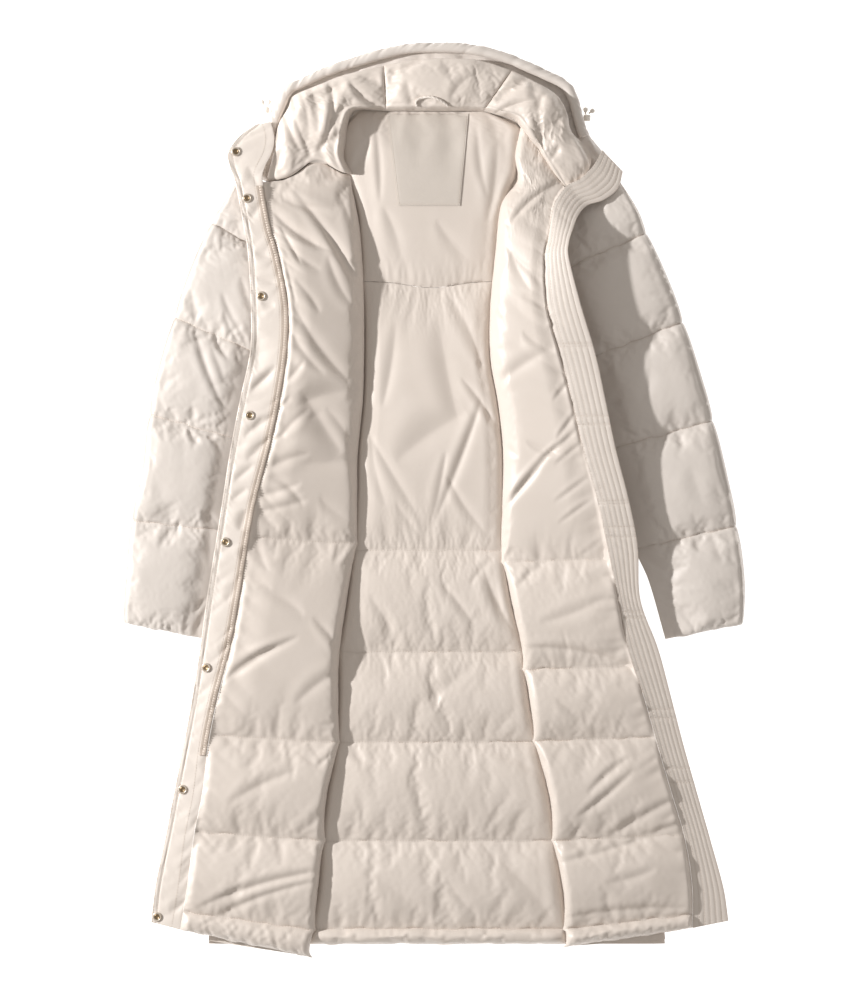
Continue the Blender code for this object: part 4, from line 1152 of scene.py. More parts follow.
@dataclass
class Quilt:
    """Padded piece: a face, its seams, and the plain inner face that closes it."""

    node: str
    finish: bpy.types.Material
    slot: Slot
    inflation: Inflation = Inflation()
    fill: float = 0.5
    gather_seed: int = 1

    def lay_out(self) -> None:
        """Work out the smooth face; each kind of piece has its own."""
        self.face = self.make_face()

    def make_face(self) -> Face:
        """The smooth face before it is blown up."""
        raise NotImplementedError

    def inner(self) -> tuple[Array, Array]:
        """Inner points and the outer column that each inner column belongs to."""
        raise NotImplementedError

    def work_cloth(self) -> None:
        """Creases and gathers over the blown-up face."""

    def stitched(self) -> Array:
        """Columns over which the seams show their stitches."""
        return np.arange(self.face.points.shape[1])

    def gather_seams(self, kinds: tuple[Gathers, ...], sizes: tuple[float, ...], fade: Array,
                     reach: float = 14.0, near: float = 90.0) -> Array:
        """Draw the seams a little uneven, and work out the gathers on both sides of them.

        Args:
            kinds: Gathers of the first seam, whose seeds count on from the piece's own and,
                seam by seam, from there.
            sizes: Size of each seam's uneven run, in mm.
            fade: Share of that run at each column.
            reach: Distance over which the run dies away, in mm.
            near: Distance at which the gathers are cut off, in mm.

        Returns:
            Height of the gathers, in mm.
        """
        along, across = self.face.distances()
        height = np.zeros_like(along)
        for number, (seam, size) in enumerate(zip(self.face.seams, sizes), self.gather_seed):
            away = np.abs(along - along[seam])
            rows = (replace(kind, seed=kind.seed + number) for kind in kinds)
            height += gather(away, across, *rows, near=near)
            self.face.slide(waver(across[seam], size, seam) * np.exp(-(away / reach) ** 2) * fade)
        return height

    def dress(self, sewing: Sewing, thread: bpy.types.Material) -> None:
        """Crease the face, close it, and sew it.

        Args:
            sewing: The stitches.
            thread: Their finish.
        """
        self.work_cloth()
        inner, knots = self.inner()
        piece = close_wall(f"{self.node}_cloth", self.face, inner, knots, self.finish)
        declare(piece, self.slot, self.node)
        runs = [self.face.read(row, self.stitched()) for row in self.face.seams[1:-1]]
        sewing.sew(f"{self.node}_stitches", self.slot, runs, thread)


@dataclass
class BackQuilt(Quilt):
    """Back between its side seams, free in the middle and pressed flat under the fronts."""

    seams: tuple[float, ...] = (305, -69, -211, -337, -475, -598, -619)
    pitch: float = 2.4
    side_columns: int = 10
    middle_columns: int = 141
    covered: float = 12.0
    crown: float = 24.0
    edge: float = 7.0
    tuck: float = 4.0
    uneven_hem: bool = True

    def make_face(self) -> Face:
        """Covered sides, and a crowned middle that is fullest beside the left front."""
        table = Table(BACK)
        bays = self.bays = Bays.at_heights(table, "y", self.seams, self.pitch)
        rows = table.at(bays.places)
        right, left = rows["open_right"] - self.tuck, rows["open_left"] + self.tuck
        side = np.linspace(0, 1, self.side_columns, endpoint=False)
        middle = np.linspace(0, 1, self.middle_columns)
        self.x = np.hstack((mix(rows["side_right"], right, side), mix(right, left, middle),
                            mix(rows["side_left"], left, side[::-1])))
        self.y = rows["y"] + 0 * self.x
        shape = curve_through((0, .01, .022, .05, .12, .3, .5, .7, .82, .90, .96, .985, 1),
                              (0, .30, .55, .75, .86, 1, 1, 1, 1.06, 1.16, 1.15, .7, 0), middle)
        free = self.covered + (self.crown - self.covered) * shape * (0.15 + 0.85 * bays.puff)
        low = np.interp(side, (0, .12, 1), (self.edge, self.covered, self.covered)) + 0 * bays.puff
        points = in_metres(self.x, self.y, np.hstack((low, free, low[:, ::-1])))
        sides = self.side_columns
        return Face(points, bays.seams, (*range(-sides, sides),), (8, self.x.shape[1] - 9))

    def fade(self) -> Array:
        """1 over the free middle, 0 on the covered sides."""
        share = np.zeros((1, self.x.shape[1]))
        middle = np.linspace(0, 1, self.middle_columns)
        share[:, self.side_columns:-self.side_columns] = inset(middle, 1, 1 / 12)
        return share

    def work_cloth(self) -> None:
        """Listed creases, and gathers on both sides of each seam."""
        along, across = self.face.distances()
        fade = self.fade()
        height = crease_relief(BACK_FOLDS, self.x, self.y) * self.bays.puff + self.gather_seams(
            (Gathers(11, 13, 0.5, seed=0, root=0.7), Gathers(34, 50, 1.5, lean=0.25, seed=9)),
            (0, *[1.3] * (len(self.seams) - 2)), fade)
        if self.uneven_hem:
            hem = waver(across[-1], 2.5, 4) + 1.5 * np.sin(across[-1] / 23)
            self.face.slide(hem * fade * np.exp(-((along - along[-1]) / 25) ** 2))
        self.face.push(height * fade)

    def inner(self) -> tuple[Array, Array]:
        """Plain underside on the surface that the coat lies on."""
        knots = np.unique(np.linspace(0, self.x.shape[1] - 1, 9).astype(int))
        return in_metres(self.x[:, knots], self.y[:, knots], 0.0), knots

    def stitched(self) -> Array:
        """Columns of the free middle."""
        return np.linspace(12, self.x.shape[1] - 13, 200)


@dataclass
class FrontQuilt(Quilt):
    """Front that turns over at a soft fold: lower layer, rounded fold, upper layer.

    crown is the rise of the upper layer over its ends and the share across of its top.
    """

    source: Source = RIGHT_FRONT
    folds: Source = RIGHT_FOLDS
    seams: tuple[float, ...] = (454, -60, -337, -474, -600, -636)
    crown: tuple[float, float] = (6.0, 0.93)
    gather_seed: int = 20
    pitch: float = 2.5
    lower_columns: int = 8
    turn_columns: int = 24
    upper_columns: int = 64
    under: float = 12.4
    lower_layer: float = 9.0
    seam_edge: float = 5.0
    fold_depth: float = 13.0
    pinch: float = 0.50
    scallop: float = 5.0

    @property
    def first_top(self) -> int:
        """First column of the upper layer."""
        return self.lower_columns + self.turn_columns

    def make_face(self) -> Face:
        """Lining face: along the lower layer, round the fold, and back on top.

        Formula: the fold is an ellipse, to whose upper half an even climb is added that goes on
        to the crest; from there the face falls as a cosine to the edge.
        """
        table = Table(self.source)
        self.bays = Bays.at_heights(table, "fold_y", self.seams, self.pitch)
        self.rows, puff = table.at(self.bays.places), self.bays.puff
        root, fold, edge = (np.stack((self.rows[f"{name}_x"], self.rows[f"{name}_y"]), axis=-1)
                            for name in ("root", "fold", "edge"))
        inward = unit(fold - (root + edge) / 2)
        fold = fold + inward * (self.scallop * ((1 - puff) ** 2 - 0.3))[..., None]
        reach = np.minimum(self.fold_depth,
                           0.35 * np.linalg.norm(fold - root, axis=-1, keepdims=True))
        centre = fold - inward * reach
        lower = np.linspace(0, 1, self.lower_columns, endpoint=False)
        turn = np.radians(np.linspace(-90, 90, self.turn_columns))
        upper = np.linspace(0, 1, self.upper_columns + 1)[1:]
        plan = np.concatenate((mix(root, centre, lower[:, None]),
                               centre + inward * reach * np.cos(turn)[:, None],
                               mix(centre, edge, upper[:, None])), axis=1)
        rise, crest = self.crown
        pinch = 1 - self.pinch * (1 - puff)
        fold_top = mix(self.under, self.rows["fold_top"], pinch)
        middle, half = (fold_top + self.under) / 2, (fold_top - self.under) / 2
        edge_top = self.rows["edge_top"]
        top = np.maximum((self.rows["fold_top"] + edge_top) / 2, edge_top) + rise
        top = mix(self.under, top, 0.4 + 0.6 * pinch)
        width = np.linalg.norm(edge - centre, axis=-1)
        span = reach[:, 0] + crest * width
        inside = np.hstack((reach[:, 0] * (1 - np.cos(turn[turn > 0])), reach[:, 0] + width * upper))
        climb = np.clip(inside / span, 0, 1)
        nose = np.sqrt(np.clip(1 - (1 - np.minimum(inside / reach[:, 0], 1)) ** 2, 0, 1))
        after = np.clip((inside - span) / (reach[:, 0] + width - span), 0, 1)
        over = np.where(after > 0, mix(edge_top, top, np.cos(np.pi / 2 * after ** 1.4)),
                        middle + half * nose + (top - fold_top) * climb)
        z = np.hstack((self.under + 0 * lower + 0 * puff, middle + half * np.sin(turn[turn <= 0]),
                       over))
        self.centre, self.inward, self.reach = centre, inward, reach
        self.root, self.edge = root, edge
        return Face(in_metres(plan[..., 0], plan[..., 1], z), self.bays.seams,
                    pressed=(*range(14), -1), free=(11 + z.shape[1] % 2, None),
                    up=self.first_top + 20)

    def work_cloth(self) -> None:
        """Creases on the upper layer, and gathers along the quilt seams and the edge."""
        x, y = self.face.plan()
        along, across = self.face.distances()
        column, seed = np.arange(x.shape[1]), self.gather_seed
        upper = np.clip((column - self.first_top + 16) / 16, 0, 1)
        height = crease_relief(self.folds, x, y) * self.bays.puff ** 0.4 * upper
        height += self.gather_seams(
            (Gathers(11, 13, 0.6, seed=0, root=0.7), Gathers(36, 55, 1.6, lean=0.3, seed=9)),
            (0, *[1.3] * (len(self.seams) - 2)), upper)
        height += Gathers(8, 40, 1.3, lean=0.5, seed=seed + 17, root=0.9).relief(
            along[-1] - along, across) * (along > along[self.face.seams[-2]])
        hem = waver(across[-1], 3.0, seed) + 2.0 * np.sin(across[-1] / 21 + seed)
        self.face.slide(hem * upper * np.exp(-((along - along[-1]) / 25) ** 2))
        away = across[:, -1:] - across
        height += gather(away, along, Gathers(9, 11, 1.5, lean=0.6, seed=seed + 20),
                         Gathers(22, 46, 2.2, lean=0.8, seed=seed + 21),
                         Gathers(38, 75, 2.4, lean=0.6, seed=seed + 22), near=130)
        self.face.push(height * np.clip(away / 3, 0, 1) * np.clip((column - 12) / 8, 0, 1))

    def inner(self) -> tuple[Array, Array]:
        """Shell face: over the lower layer, tight round the fold, and under the upper layer."""
        first, last = self.first_top, self.face.points.shape[1] - 1
        knots = np.array((0, 2, 4, self.lower_columns, self.lower_columns + self.turn_columns // 2,
                          first - 1, *np.linspace(first + 8, last, 8).astype(int)))
        lower = np.array((0, .25, .5, 1.0))
        upper = (knots[6:] - first + 1) / self.upper_columns
        plan = np.concatenate((mix(self.root, self.centre, lower[:, None]),
                               self.centre + self.inward * 0.16 * self.reach, self.centre,
                               mix(self.centre, self.edge, upper[:, None])), axis=1)
        crease = self.under + self.lower_layer + 0.6
        low = mix(self.seam_edge, self.lower_layer, np.sin(np.pi / 2 * np.minimum(lower * 3, 1)))
        high = mix(crease + 0.8, self.rows["edge_top"] - self.seam_edge, upper ** 3)
        low = np.array((*(self.under + low), crease, crease + 0.6)) + 0 * high[:, :1]
        return in_metres(plan[..., 0], plan[..., 1], np.hstack((low, high))), knots

    def stitched(self) -> Array:
        """Columns from the fold to the edge."""
        return np.linspace(self.first_top - 12, self.face.points.shape[1] - 3, 160)


@dataclass
class SleeveQuilt(Quilt):
    """Sleeve: flat below, crowned between its quilt seams above, open at both ends.

    slope and top are the share across and the share of the crown's height of the points of its
    profile, from the armhole side to the outer side.
    """

    source: Source = RIGHT_SLEEVE
    slope: Profile = ((0, .60), (.10, .68), (.20, .77), (.32, .86))
    top: Profile = ((.50, .92), (.70, .97), (.86, 1.0), (.95, .97), (.985, .82), (1.0, .42))
    gather_seed: int = 60
    pitch: float = 2.3
    top_columns: int = 66
    pinch: float = 0.24
    seam_rows: tuple[int, ...] = (0, 3, 5, 7, 9, 11)
    notch: float = 4.5
    slot_middle: float = 12.5
    slot_half: float = 6.0
    slot_span: tuple[float, float] = (.22, .92)

    def make_face(self) -> Face:
        """Tube round two layers, whose top is a profile across times the crown's height."""
        table = Table(self.source)
        travelled = distance_along(table.middle())
        bays = self.bays = Bays.lay([(seam, travelled[seam] - travelled[before]) for before, seam
                                     in zip((0, *self.seam_rows), self.seam_rows)], self.pitch)
        self.rows, puff = table.at(bays.places), bays.puff ** 0.7
        self.profile = Table(("share height", (*self.slope, *self.top)))
        over = np.linspace(0, 1, self.top_columns + 1)
        over_share = curve_through(self.profile.share, self.profile.height, over)
        below = np.array((.985, .94, .84, .68, .50, .32, .16, .05, .012))
        below_share = np.array((.12, .02, 0, 0, 0, 0, 0, .02, .14))
        self.around = np.concatenate((over, below))
        z = self.rows["crown"] * (1 - self.pinch * (1 - puff)) * np.concatenate(
            (over_share, below_share))
        notch = self.notch * (1 - puff) / gap(self.rows, "inner", "outer") * self.around ** 8
        points = between(self.rows, "inner", "outer", self.around - notch, z)
        return Face(points, bays.seams, (*range(12), *range(self.top_columns, z.shape[1])),
                    (10, self.top_columns + 1), self.top_columns // 2, tube=True)

    def work_cloth(self) -> None:
        """Listed creases, and gathers on both sides of each uneven quilt seam."""
        along, across = self.face.distances()
        height = crease_relief(SLEEVE_FOLDS, *self.face.plan())
        over = np.zeros(along.shape[1])
        over[:self.top_columns + 1] = np.sin(np.pi * np.linspace(0, 1, self.top_columns + 1)) ** 0.7
        cuff = Gathers(11, 24, 2.0, lean=0.2, seed=self.gather_seed + 31, root=0.9)
        height += gather(np.abs(along[-1] - along), across, cuff, near=60)
        height += self.gather_seams(
            (Gathers(8, 10, 1.3, seed=0, root=0.7), Gathers(17, 26, 1.2, lean=0.1, seed=9),
             Gathers(46, 80, 1.3, lean=0.2, seed=19)),
            (0, 1.5, 1.5, 1.5, 1.5, 3.0), over ** 2, reach=16, near=100)
        self.face.push(height * over)

    def inner(self) -> tuple[Array, Array]:
        """The room in the sleeve, a flat slot."""
        knots = np.concatenate((np.arange(0, self.top_columns, 7), [self.top_columns],
                                np.arange(self.top_columns + 2, len(self.around), 2)))
        around = self.around[knots]
        inside = mix(*self.slot_span, around)
        seam_crown = (1 - self.pinch) * self.rows["crown"]
        middle = np.minimum(self.slot_middle, 0.5 * seam_crown * np.interp(
            inside, self.profile.share, self.profile.height))
        half = np.minimum(self.slot_half, 0.25 * seam_crown)
        half = half * (0.05 + 0.95 * np.sin(np.pi * (0.03 + 0.94 * around)) ** 0.7)
        side = np.where(knots <= self.top_columns, 1.0, -1.0)
        return between(self.rows, "inner", "outer", inside, middle + side * half), knots

    def stitched(self) -> Array:
        """Columns across the top."""
        return np.linspace(8, self.top_columns - 1, 140)


@dataclass
class HoodQuilt(Quilt):
    """Padded hood panel between two of the hood's seams, from the neck seam to the rim."""

    first: int = 0
    last: int = 7
    pitch: float = 1.8
    columns: int = 44
    floor: float = 16.4
    droop: float = 0.05
    profile: Source = ("share height", (
        (-.05, .30), (0, .84), (.10, .97), (.35, 1.0), (.65, 1.0), (.88, .94), (1.0, .74)))

    def make_face(self) -> Face:
        """Rows along the hood between its seams, crowned from the neck seam to the rim."""
        table, profile = Table(HOOD), Table(self.profile)
        length = distance_along(table.middle()[self.first:self.last + 1])[-1]
        steps = 2 * max(4, round(length / self.pitch / 2))
        share = np.linspace(0, 1, steps + 1)
        self.rows = table.at(mix(self.first + 0.004, self.last - 0.004, share))
        puff = (np.sin(np.pi * share).clip(0) ** 0.45)[:, None]
        self.share = np.linspace(-self.droop, 1, self.columns + 1)
        height = curve_through(profile.share, profile.height, self.share)
        z = self.floor + (self.rows["crown"] - self.floor) * height * (0.72 + 0.28 * puff)
        return Face(between(self.rows, "inner", "outer", self.share, z))

    def work_cloth(self) -> None:
        """Listed creases, and gathers off the neck seam and off the rim."""
        along, across = self.face.distances()
        height = 1.5 * crease_relief(HOOD_FOLDS, *self.face.plan())
        for away, seed in ((across, 100 + self.first), (across[:, -1:] - across, 105 + self.first)):
            height += gather(away, along, Gathers(12, 12, 1.0, seed=seed),
                             Gathers(30, 40, 1.0, seed=seed + 1))
        self.face.push(height * inset(across, across[:, -1:], 4) * inset(along, along[-1:], 5))

    def inner(self) -> tuple[Array, Array]:
        """Plain underside on the hood's outer layers."""
        knots = np.linspace(0, self.columns, 5).astype(int)
        return between(self.rows, "inner", "outer", self.share[knots], self.floor), knots


@dataclass
class HoodShellQuilt(Quilt):
    """The hood's outer layers and the collar's back, on the surface beyond the neck seam."""

    stations: int = 281
    columns: int = 26
    height: float = 16.0
    lowest: float = 2.5

    def make_face(self) -> Face:
        """Crescent whose height is a profile across, low at its outer rim."""
        self.rows = Table(HOOD_SHELL).spread(self.stations)
        self.share = np.linspace(0, 1, self.columns + 1)
        z = self.height * curve_through((0, .35, .75, .93, 1), (.9, 1, 1, .85, .4), self.share)
        return Face(between(self.rows, "inner", "outer", self.share, z))

    def work_cloth(self) -> None:
        """Creases, and gathers off the channel along the rim."""
        along, across = self.face.distances()
        height = gather(across[:, -1:] - across, along, Gathers(10, 18, 1.8, seed=140, root=0.8),
                        Gathers(29, 45, 2.4, lean=0.5, seed=141))
        height += crease_relief(HOOD_FOLDS, *self.face.plan())
        self.face.push(height * np.clip(across / 6, 0, 1) * inset(along, along[-1:], 5))
        self.face.points[..., 2] = np.maximum(self.face.points[..., 2], self.lowest * MM)

    def inner(self) -> tuple[Array, Array]:
        """Plain underside on the surface that the coat lies on."""
        knots = np.linspace(0, self.columns, 5).astype(int)
        return between(self.rows, "inner", "outer", self.share[knots], 0.0), knots


@dataclass
class EdgeStrip:
    """Strip of several layers sewn along a front's edge."""

    node: str
    finish: bpy.types.Material
    collar: Source
    front: Source
    thickness: float = 4.5
    columns: int = 36
    pitch: float = 2.2
    seam_gap: float = 0.4
    levelling: float = 1.0

    def rows_of(self) -> dict[str, Array]:
        """The collar's rows and then the front's, read at even stations."""
        below = Table(self.front)
        rows = np.stack([getattr(below, name) for name in COLLAR_COLUMNS.split()], axis=-1)
        table = Table((COLLAR_COLUMNS, (*self.collar[1], *rows)))
        places = np.linspace(0, len(table.rows) - 1, 4000)
        fine = table.at(places)
        travelled = distance_along(np.hstack([(fine[f"edge_{axis}"] + fine[f"outer_{axis}"]) / 2
                                              for axis in "xy"]))
        count = int(travelled[-1] / self.pitch) + 1
        return table.at(np.interp(np.linspace(0, travelled[-1], count), travelled, places))

    def make_face(self) -> Face:
        """Grid from the seam to the outer edge, at heights between the two edges' own."""
        self.rows = self.rows_of()
        self.width = gap(self.rows, "edge", "outer")
        across = np.linspace(0, 1, self.columns + 1)
        self.share = across + (1 - across) * self.seam_gap / self.width
        face = Face(self.surface(self.share))
        face.push(self.relief(face, self.share * self.width, (1 - self.share) * self.width))
        return face

    def surface(self, share: Array, lift: float = 0.0) -> Array:
        """Points from the seam to the outer edge, by share, lifted by lift."""
        top = mix(self.rows["edge_top"], self.rows["outer_top"], share ** self.levelling)
        return between(self.rows, "edge", "outer", share, top + lift)

    def relief(self, face: Face, inside: Array, outside: Array) -> Array:
        """Height over the plain strip, from the distances to its two edges."""
        raise NotImplementedError

    def lines(self) -> list[Path]:
        """Topstitching."""
        raise NotImplementedError

    def dress(self, sewing: Sewing, thread: bpy.types.Material, rests_on: tuple[str, ...]) -> None:
        """Args:
            sewing: The stitches.
            thread: Their finish.
            rests_on: Nodes that it lies on; not used.
        """
        self.face = self.make_face()
        knots = np.linspace(0, self.columns, 7).astype(int)
        inner = self.surface(self.share[:, knots], -self.thickness)
        piece = close_wall(f"{self.node}_cloth", self.face, inner, knots, self.finish)
        declare(piece, Slot.FACING, self.node)
        length = float(self.face.distances()[0][-1].mean())
        sewing.sew(f"{self.node}_stitches", Slot.FACING, self.lines(), thread)


@dataclass
class SnapPlacket(EdgeStrip):
    """Snap placket: softly padded between its seam and a welt along its outer edge."""

    welt: float = 7.0

    def relief(self, face: Face, inside: Array, outside: Array) -> Array:
        """A low crown and a rounded welt, parted by a stitched groove, with slanting puckers."""
        along, _ = face.distances()
        body = 0.9 * np.sin(np.pi * np.clip(inside / (self.width - self.welt), 0, 1)).clip(0) ** 0.5
        welt = 0.45 * np.sin(np.pi * np.clip(outside / self.welt, 0, 1)).clip(0) ** 0.5
        groove = -0.8 * np.exp(-((outside - self.welt) / 1.2) ** 2)
        puckers = (gather(np.abs(outside - self.welt), along,
                          Gathers(10, 9, 1.1, lean=0.7, seed=201, root=0.4),
                          Gathers(34, 30, 1.5, lean=-0.9, seed=202))
                   + gather(inside, along, Gathers(26, 24, 1.2, lean=0.9, seed=203))
                   + 1.5 * crease_relief(PLACKET_FOLDS, *face.plan()) * np.clip(outside / 9, 0, 1))
        return body + welt + groove + puckers * np.clip(outside / 3, 0, 1)

    def lines(self) -> list[Path]:
        """One row in the groove, one at the outer edge and one beside the zip."""
        width = self.width[:, 0]
        return [self.face.read(np.arange(len(width)), share * self.columns)
                for share in (1 - self.welt / width, 1 - 1.6 / width, 12.5 / width)]


@dataclass
class StitchedFlap(EdgeStrip):
    """Storm flap with rows of topstitching that part it into ridges; ties cross them in pairs."""

    ridges: int = 6
    levelling: float = 0.6
    ridge_height: float = 0.8
    ties: tuple[float, ...] = (218, 214, 118, 106, 0, -4, -36, -50, -154, -162, -290, -302,
                               -372, -392)

    def relief(self, face: Face, inside: Array, outside: Array) -> Array:
        """Ridges |sin| between the rows, nicked where the ties cross them, and puckered."""
        wave = np.abs(np.sin(np.pi * self.ridges * inside / self.width)) ** 0.45
        ties = np.array(self.ties)[:, None, None]
        nick = np.exp(-((face.plan()[1] - ties) / 1.6) ** 2).max(axis=0)
        puckers = gather(inside, face.distances()[0],
                         Gathers(8, 12, 0.8, lean=-0.6, seed=221, root=0.8),
                         Gathers(23, 60, 0.9, lean=0.2, seed=222))
        return self.ridge_height * wave * (1 - 0.75 * nick) - 0.6 * nick + 0.9 * puckers

    def lines(self) -> list[Path]:
        """Rows along the flap, and the ties."""
        rows, columns = np.arange(len(self.width)), np.linspace(1, self.columns - 1, 40)
        heights = self.rows["edge_y"][:, 0]
        return [*(self.face.read(rows, column)
                  for column in np.linspace(1.2, self.columns - 1.2, self.ridges + 1)),
                *(self.face.read(np.interp(-tie, -heights, rows), columns) for tie in self.ties)]


@dataclass
class ZipHalf:
    """Zip tape on the placket's inner margin, with its chain of dyed coil."""

    placket: SnapPlacket
    top: float = 440.0
    end: float = -356.0
    margin: float = 1.0
    width: float = 9.0
    tape: float = 0.9
    teeth: Bead = Bead(half=2.9, width=1.25, rise=0.75, sink=0.3, thick=0.9)

    def dress(self, finishes: Wardrobe, sewing: Sewing) -> None:
        """Tape, coil and the tape's row of stitches.

        Args:
            finishes: The coat's finishes.
            sewing: The stitches.
        """
        heights = self.placket.rows["edge_y"][:, 0]
        rows = np.flatnonzero((heights < self.top) & (heights > self.end))
        across = np.linspace(0, 1, 13)
        share = (self.margin + self.width * across) / self.placket.width[rows]
        grid = np.broadcast_to(rows[:, None], share.shape)
        run = self.placket.face.read(grid.ravel(), (share * self.placket.columns).ravel())
        points = run.points.reshape(*share.shape, 3) + (0, 0, (self.tape + 0.7) * MM)
        face = Face(points)
        face.push(-0.3 * (1 - across) ** 2 + 0 * share)
        knots = np.array((0, 6, 12))
        under = points[:, knots] - (0, 0, self.tape * MM)
        declare(close_wall("zip_tape", face, under, knots, finishes.tape), Slot.ZIP, "zip_half")
        stations = np.arange(len(rows))
        point, normal, along = face.read(stations, 3.0).evenly(3.6)
        slant = unit(np.cross(normal, along) + 0.18 * along)
        coil = add_mesh("zip_coil", *self.teeth.copies(point, slant, normal), finishes.coil)
        declare(coil, Slot.ZIP)
        sewing.sew("zip_stitches", Slot.ZIP, [face.read(stations, 9.5)], finishes.thread)


class Ground:
    """Search tree over a cloth face, for what lies on it."""

    def __init__(self, face: Face) -> None:
        """Take the face's points."""
        self.tree = BVHTree.FromPolygons(face.points.reshape(-1, 3).tolist(),
                                         quads(numbered(*face.points.shape[:2])).tolist())

    def drop(self, x: float, y: float) -> tuple[Vector, Vector]:
        """Highest point under a plan place in metres, and the normal there, turned up."""
        place, normal, _, _ = self.tree.ray_cast(Vector((x, y, 1.0)), Vector((0, 0, -1)))
        return place, normal if normal.z > 0 else -normal


@dataclass(frozen=True)
class Trims:
    """Channel, patch, loop, press studs and cord locks."""

    finishes: Wardrobe
    sewing: Sewing
    hood_floor: float = 16.4
    band_radius: float = 7.5
    label_top: tuple[float, float, float] = (-66, 48, 541)
    label_bottom: tuple[float, float, float] = (-50, 36, 412)
    label_wall: float = 0.9
    lock_height: float = 6.0
    lock_half: float = 4.5

    def hood_band(self) -> None:
        """Gathered channel along the hood's opening.

        Formula: a tube whose radius swells and pinches with puckers that slant round it.
        """
        rows = Table(BAND_ROUTE).spread(420)
        centre = in_metres(rows["x"], rows["y"], self.hood_floor + self.band_radius)[:, 0]
        along = distance_along(centre)[:, None] / MM
        turn = np.linspace(0, 2 * np.pi, 28, endpoint=False)[None, :]
        away = self.band_radius * (1 + np.cos(turn)) + 0 * along
        slant = along + 9.0 * np.cos(turn) + 3.0 * np.sin(turn)
        puckers = gather(away, slant, Gathers(8, 13, 1.8, seed=161, root=0.9),
                         Gathers(21, 22, 1.9, lean=0.6, seed=162))
        radius = (self.band_radius - 0.2 + 0.9 * puckers) * MM
        radius = radius * (1 - 0.10 * np.exp(-((turn - np.pi) / 0.30) ** 2))
        points, faces = tube_along(centre, radius, 28, flat=0.95)
        band = add_mesh("hood_band_cloth", points, faces, self.finishes.shell,
                        np.stack(np.broadcast_arrays(turn * self.band_radius, along), -1) * MM)
        declare(band, Slot.SHELL, "hood_band")

    def label_patch(self, yoke: Face) -> None:
        """Bare patch that follows the yoke, with a turned rim and a row of stitches.

        Formula: a grid between its four corners, dropped on the yoke, smoothed and lifted off
        it; it is 0.35 mm lower along a line 2.2 mm inside its edge, and 0.4 mm at the edge.
        """
        ground = Ground(yoke)
        lines, columns = 61, 49
        down, over = np.linspace(0, 1, lines)[:, None], np.linspace(0, 1, columns)[None, :]
        start, end, y = (mix(*pair, down) for pair in zip(self.label_top, self.label_bottom))
        plan = in_metres(mix(start, end, over), y, 0.0).reshape(-1, 3)
        points = np.array([ground.drop(px, py)[0] for px, py, _ in plan]).reshape(lines, columns, 3)
        for _ in range(6):
            points[1:-1, 1:-1, 2] = (points[:-2, 1:-1, 2] + points[2:, 1:-1, 2]
                                     + points[1:-1, :-2, 2] + points[1:-1, 2:, 2]) / 4
        under = points + (0, 0, 0.9 * MM)
        face = Face(under + (0, 0, self.label_wall * MM))
        rim = np.minimum(*(np.minimum(distance, total - distance) for distance, total in (
            (face.distances()[0], face.distances()[0][-1:]),
            (face.distances()[1], face.distances()[1][:, -1:]))))
        face.push(-0.35 * np.exp(-((rim - 2.2) / 0.8) ** 2) - 0.4 * np.exp(-(rim / 0.5) ** 2))
        knots = np.linspace(0, columns - 1, 7).astype(int)
        patch = close_wall("label_patch_cloth", face, under[:, knots], knots, self.finishes.patch)
        declare(patch, Slot.FACING, "label_patch")
        rows, last = np.linspace(1, lines - 2, 60), columns - 2
        runs = [face.read(rows, 1.0), face.read(rows, last),
                face.read(lines - 2, np.linspace(1, last, 60))]
        self.sewing.sew("label_stitches", Slot.FACING, runs, self.finishes.thread)

    def hanger_loop(self, hood_centre: Face) -> None:
        """Loop of cord at the back neck, twisted from two strands."""
        ground = Ground(hood_centre)
        rows = Table(LOOP_ROUTE).spread(90)
        plan = in_metres(rows["x"], rows["y"], 0.0)[:, 0]
        top = np.array([ground.drop(px, py)[0].z for px, py, _ in plan])
        top = np.convolve(np.pad(top, 4, mode="edge"), np.ones(9) / 9, mode="valid")
        centre = np.column_stack((plan[:, :2], top + 2.3 * MM))
        turn = np.linspace(0, 2 * np.pi, 14, endpoint=False)[None, :]
        twist = np.linspace(0, 26 * np.pi, len(centre))[:, None]
        radius = (1.75 + 0.25 * np.cos(2 * turn + twist)) * MM
        points, faces = tube_along(centre, radius, 14, flat=0.9)
        declare(add_mesh("hanger_loop_cord", points, faces, self.finishes.facing,
                         np.zeros((*radius.shape, 2)) + radius[..., None]),
                Slot.FACING, "hanger_loop")

    def snaps(self, placket: Face) -> None:
        """Press studs: an enamelled ring round a brass socket, square to the placket."""
        ground = Ground(placket)
        for number in range(1, 9):
            low, high = (np.array(corner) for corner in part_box(f"snap_{number}"))
            x, y = (low + high)[:2] / 2
            place, normal = ground.drop(x, y)
            around = [ground.drop(x + 5.5 * MM * math.cos(a), y + 5.5 * MM * math.sin(a))
                      for a in np.linspace(0, 2 * math.pi, 12, endpoint=False)]
            normal = sum((other[1] for other in around), normal).normalized()
            lift = max((other[0] - place).dot(normal) for other in around)
            place = place + normal * (0.6 * lift)
            parts = [turned(profile, sides, place, normal)
                     for profile, sides in ((STUD_RING, 40), (STUD_SOCKET, 32))]
            stud = add_mesh(f"snap_{number}_stud", *join_parts(parts), self.finishes.cap, sharp=50)
            stud.data.materials.append(self.finishes.brass)
            index = np.repeat((0, 1), [len(faces) for _, faces in parts]).astype(np.int32)
            stud.data.polygons.foreach_set("material_index", index)
            declare(stud, Slot.SNAP, f"snap_{number}")

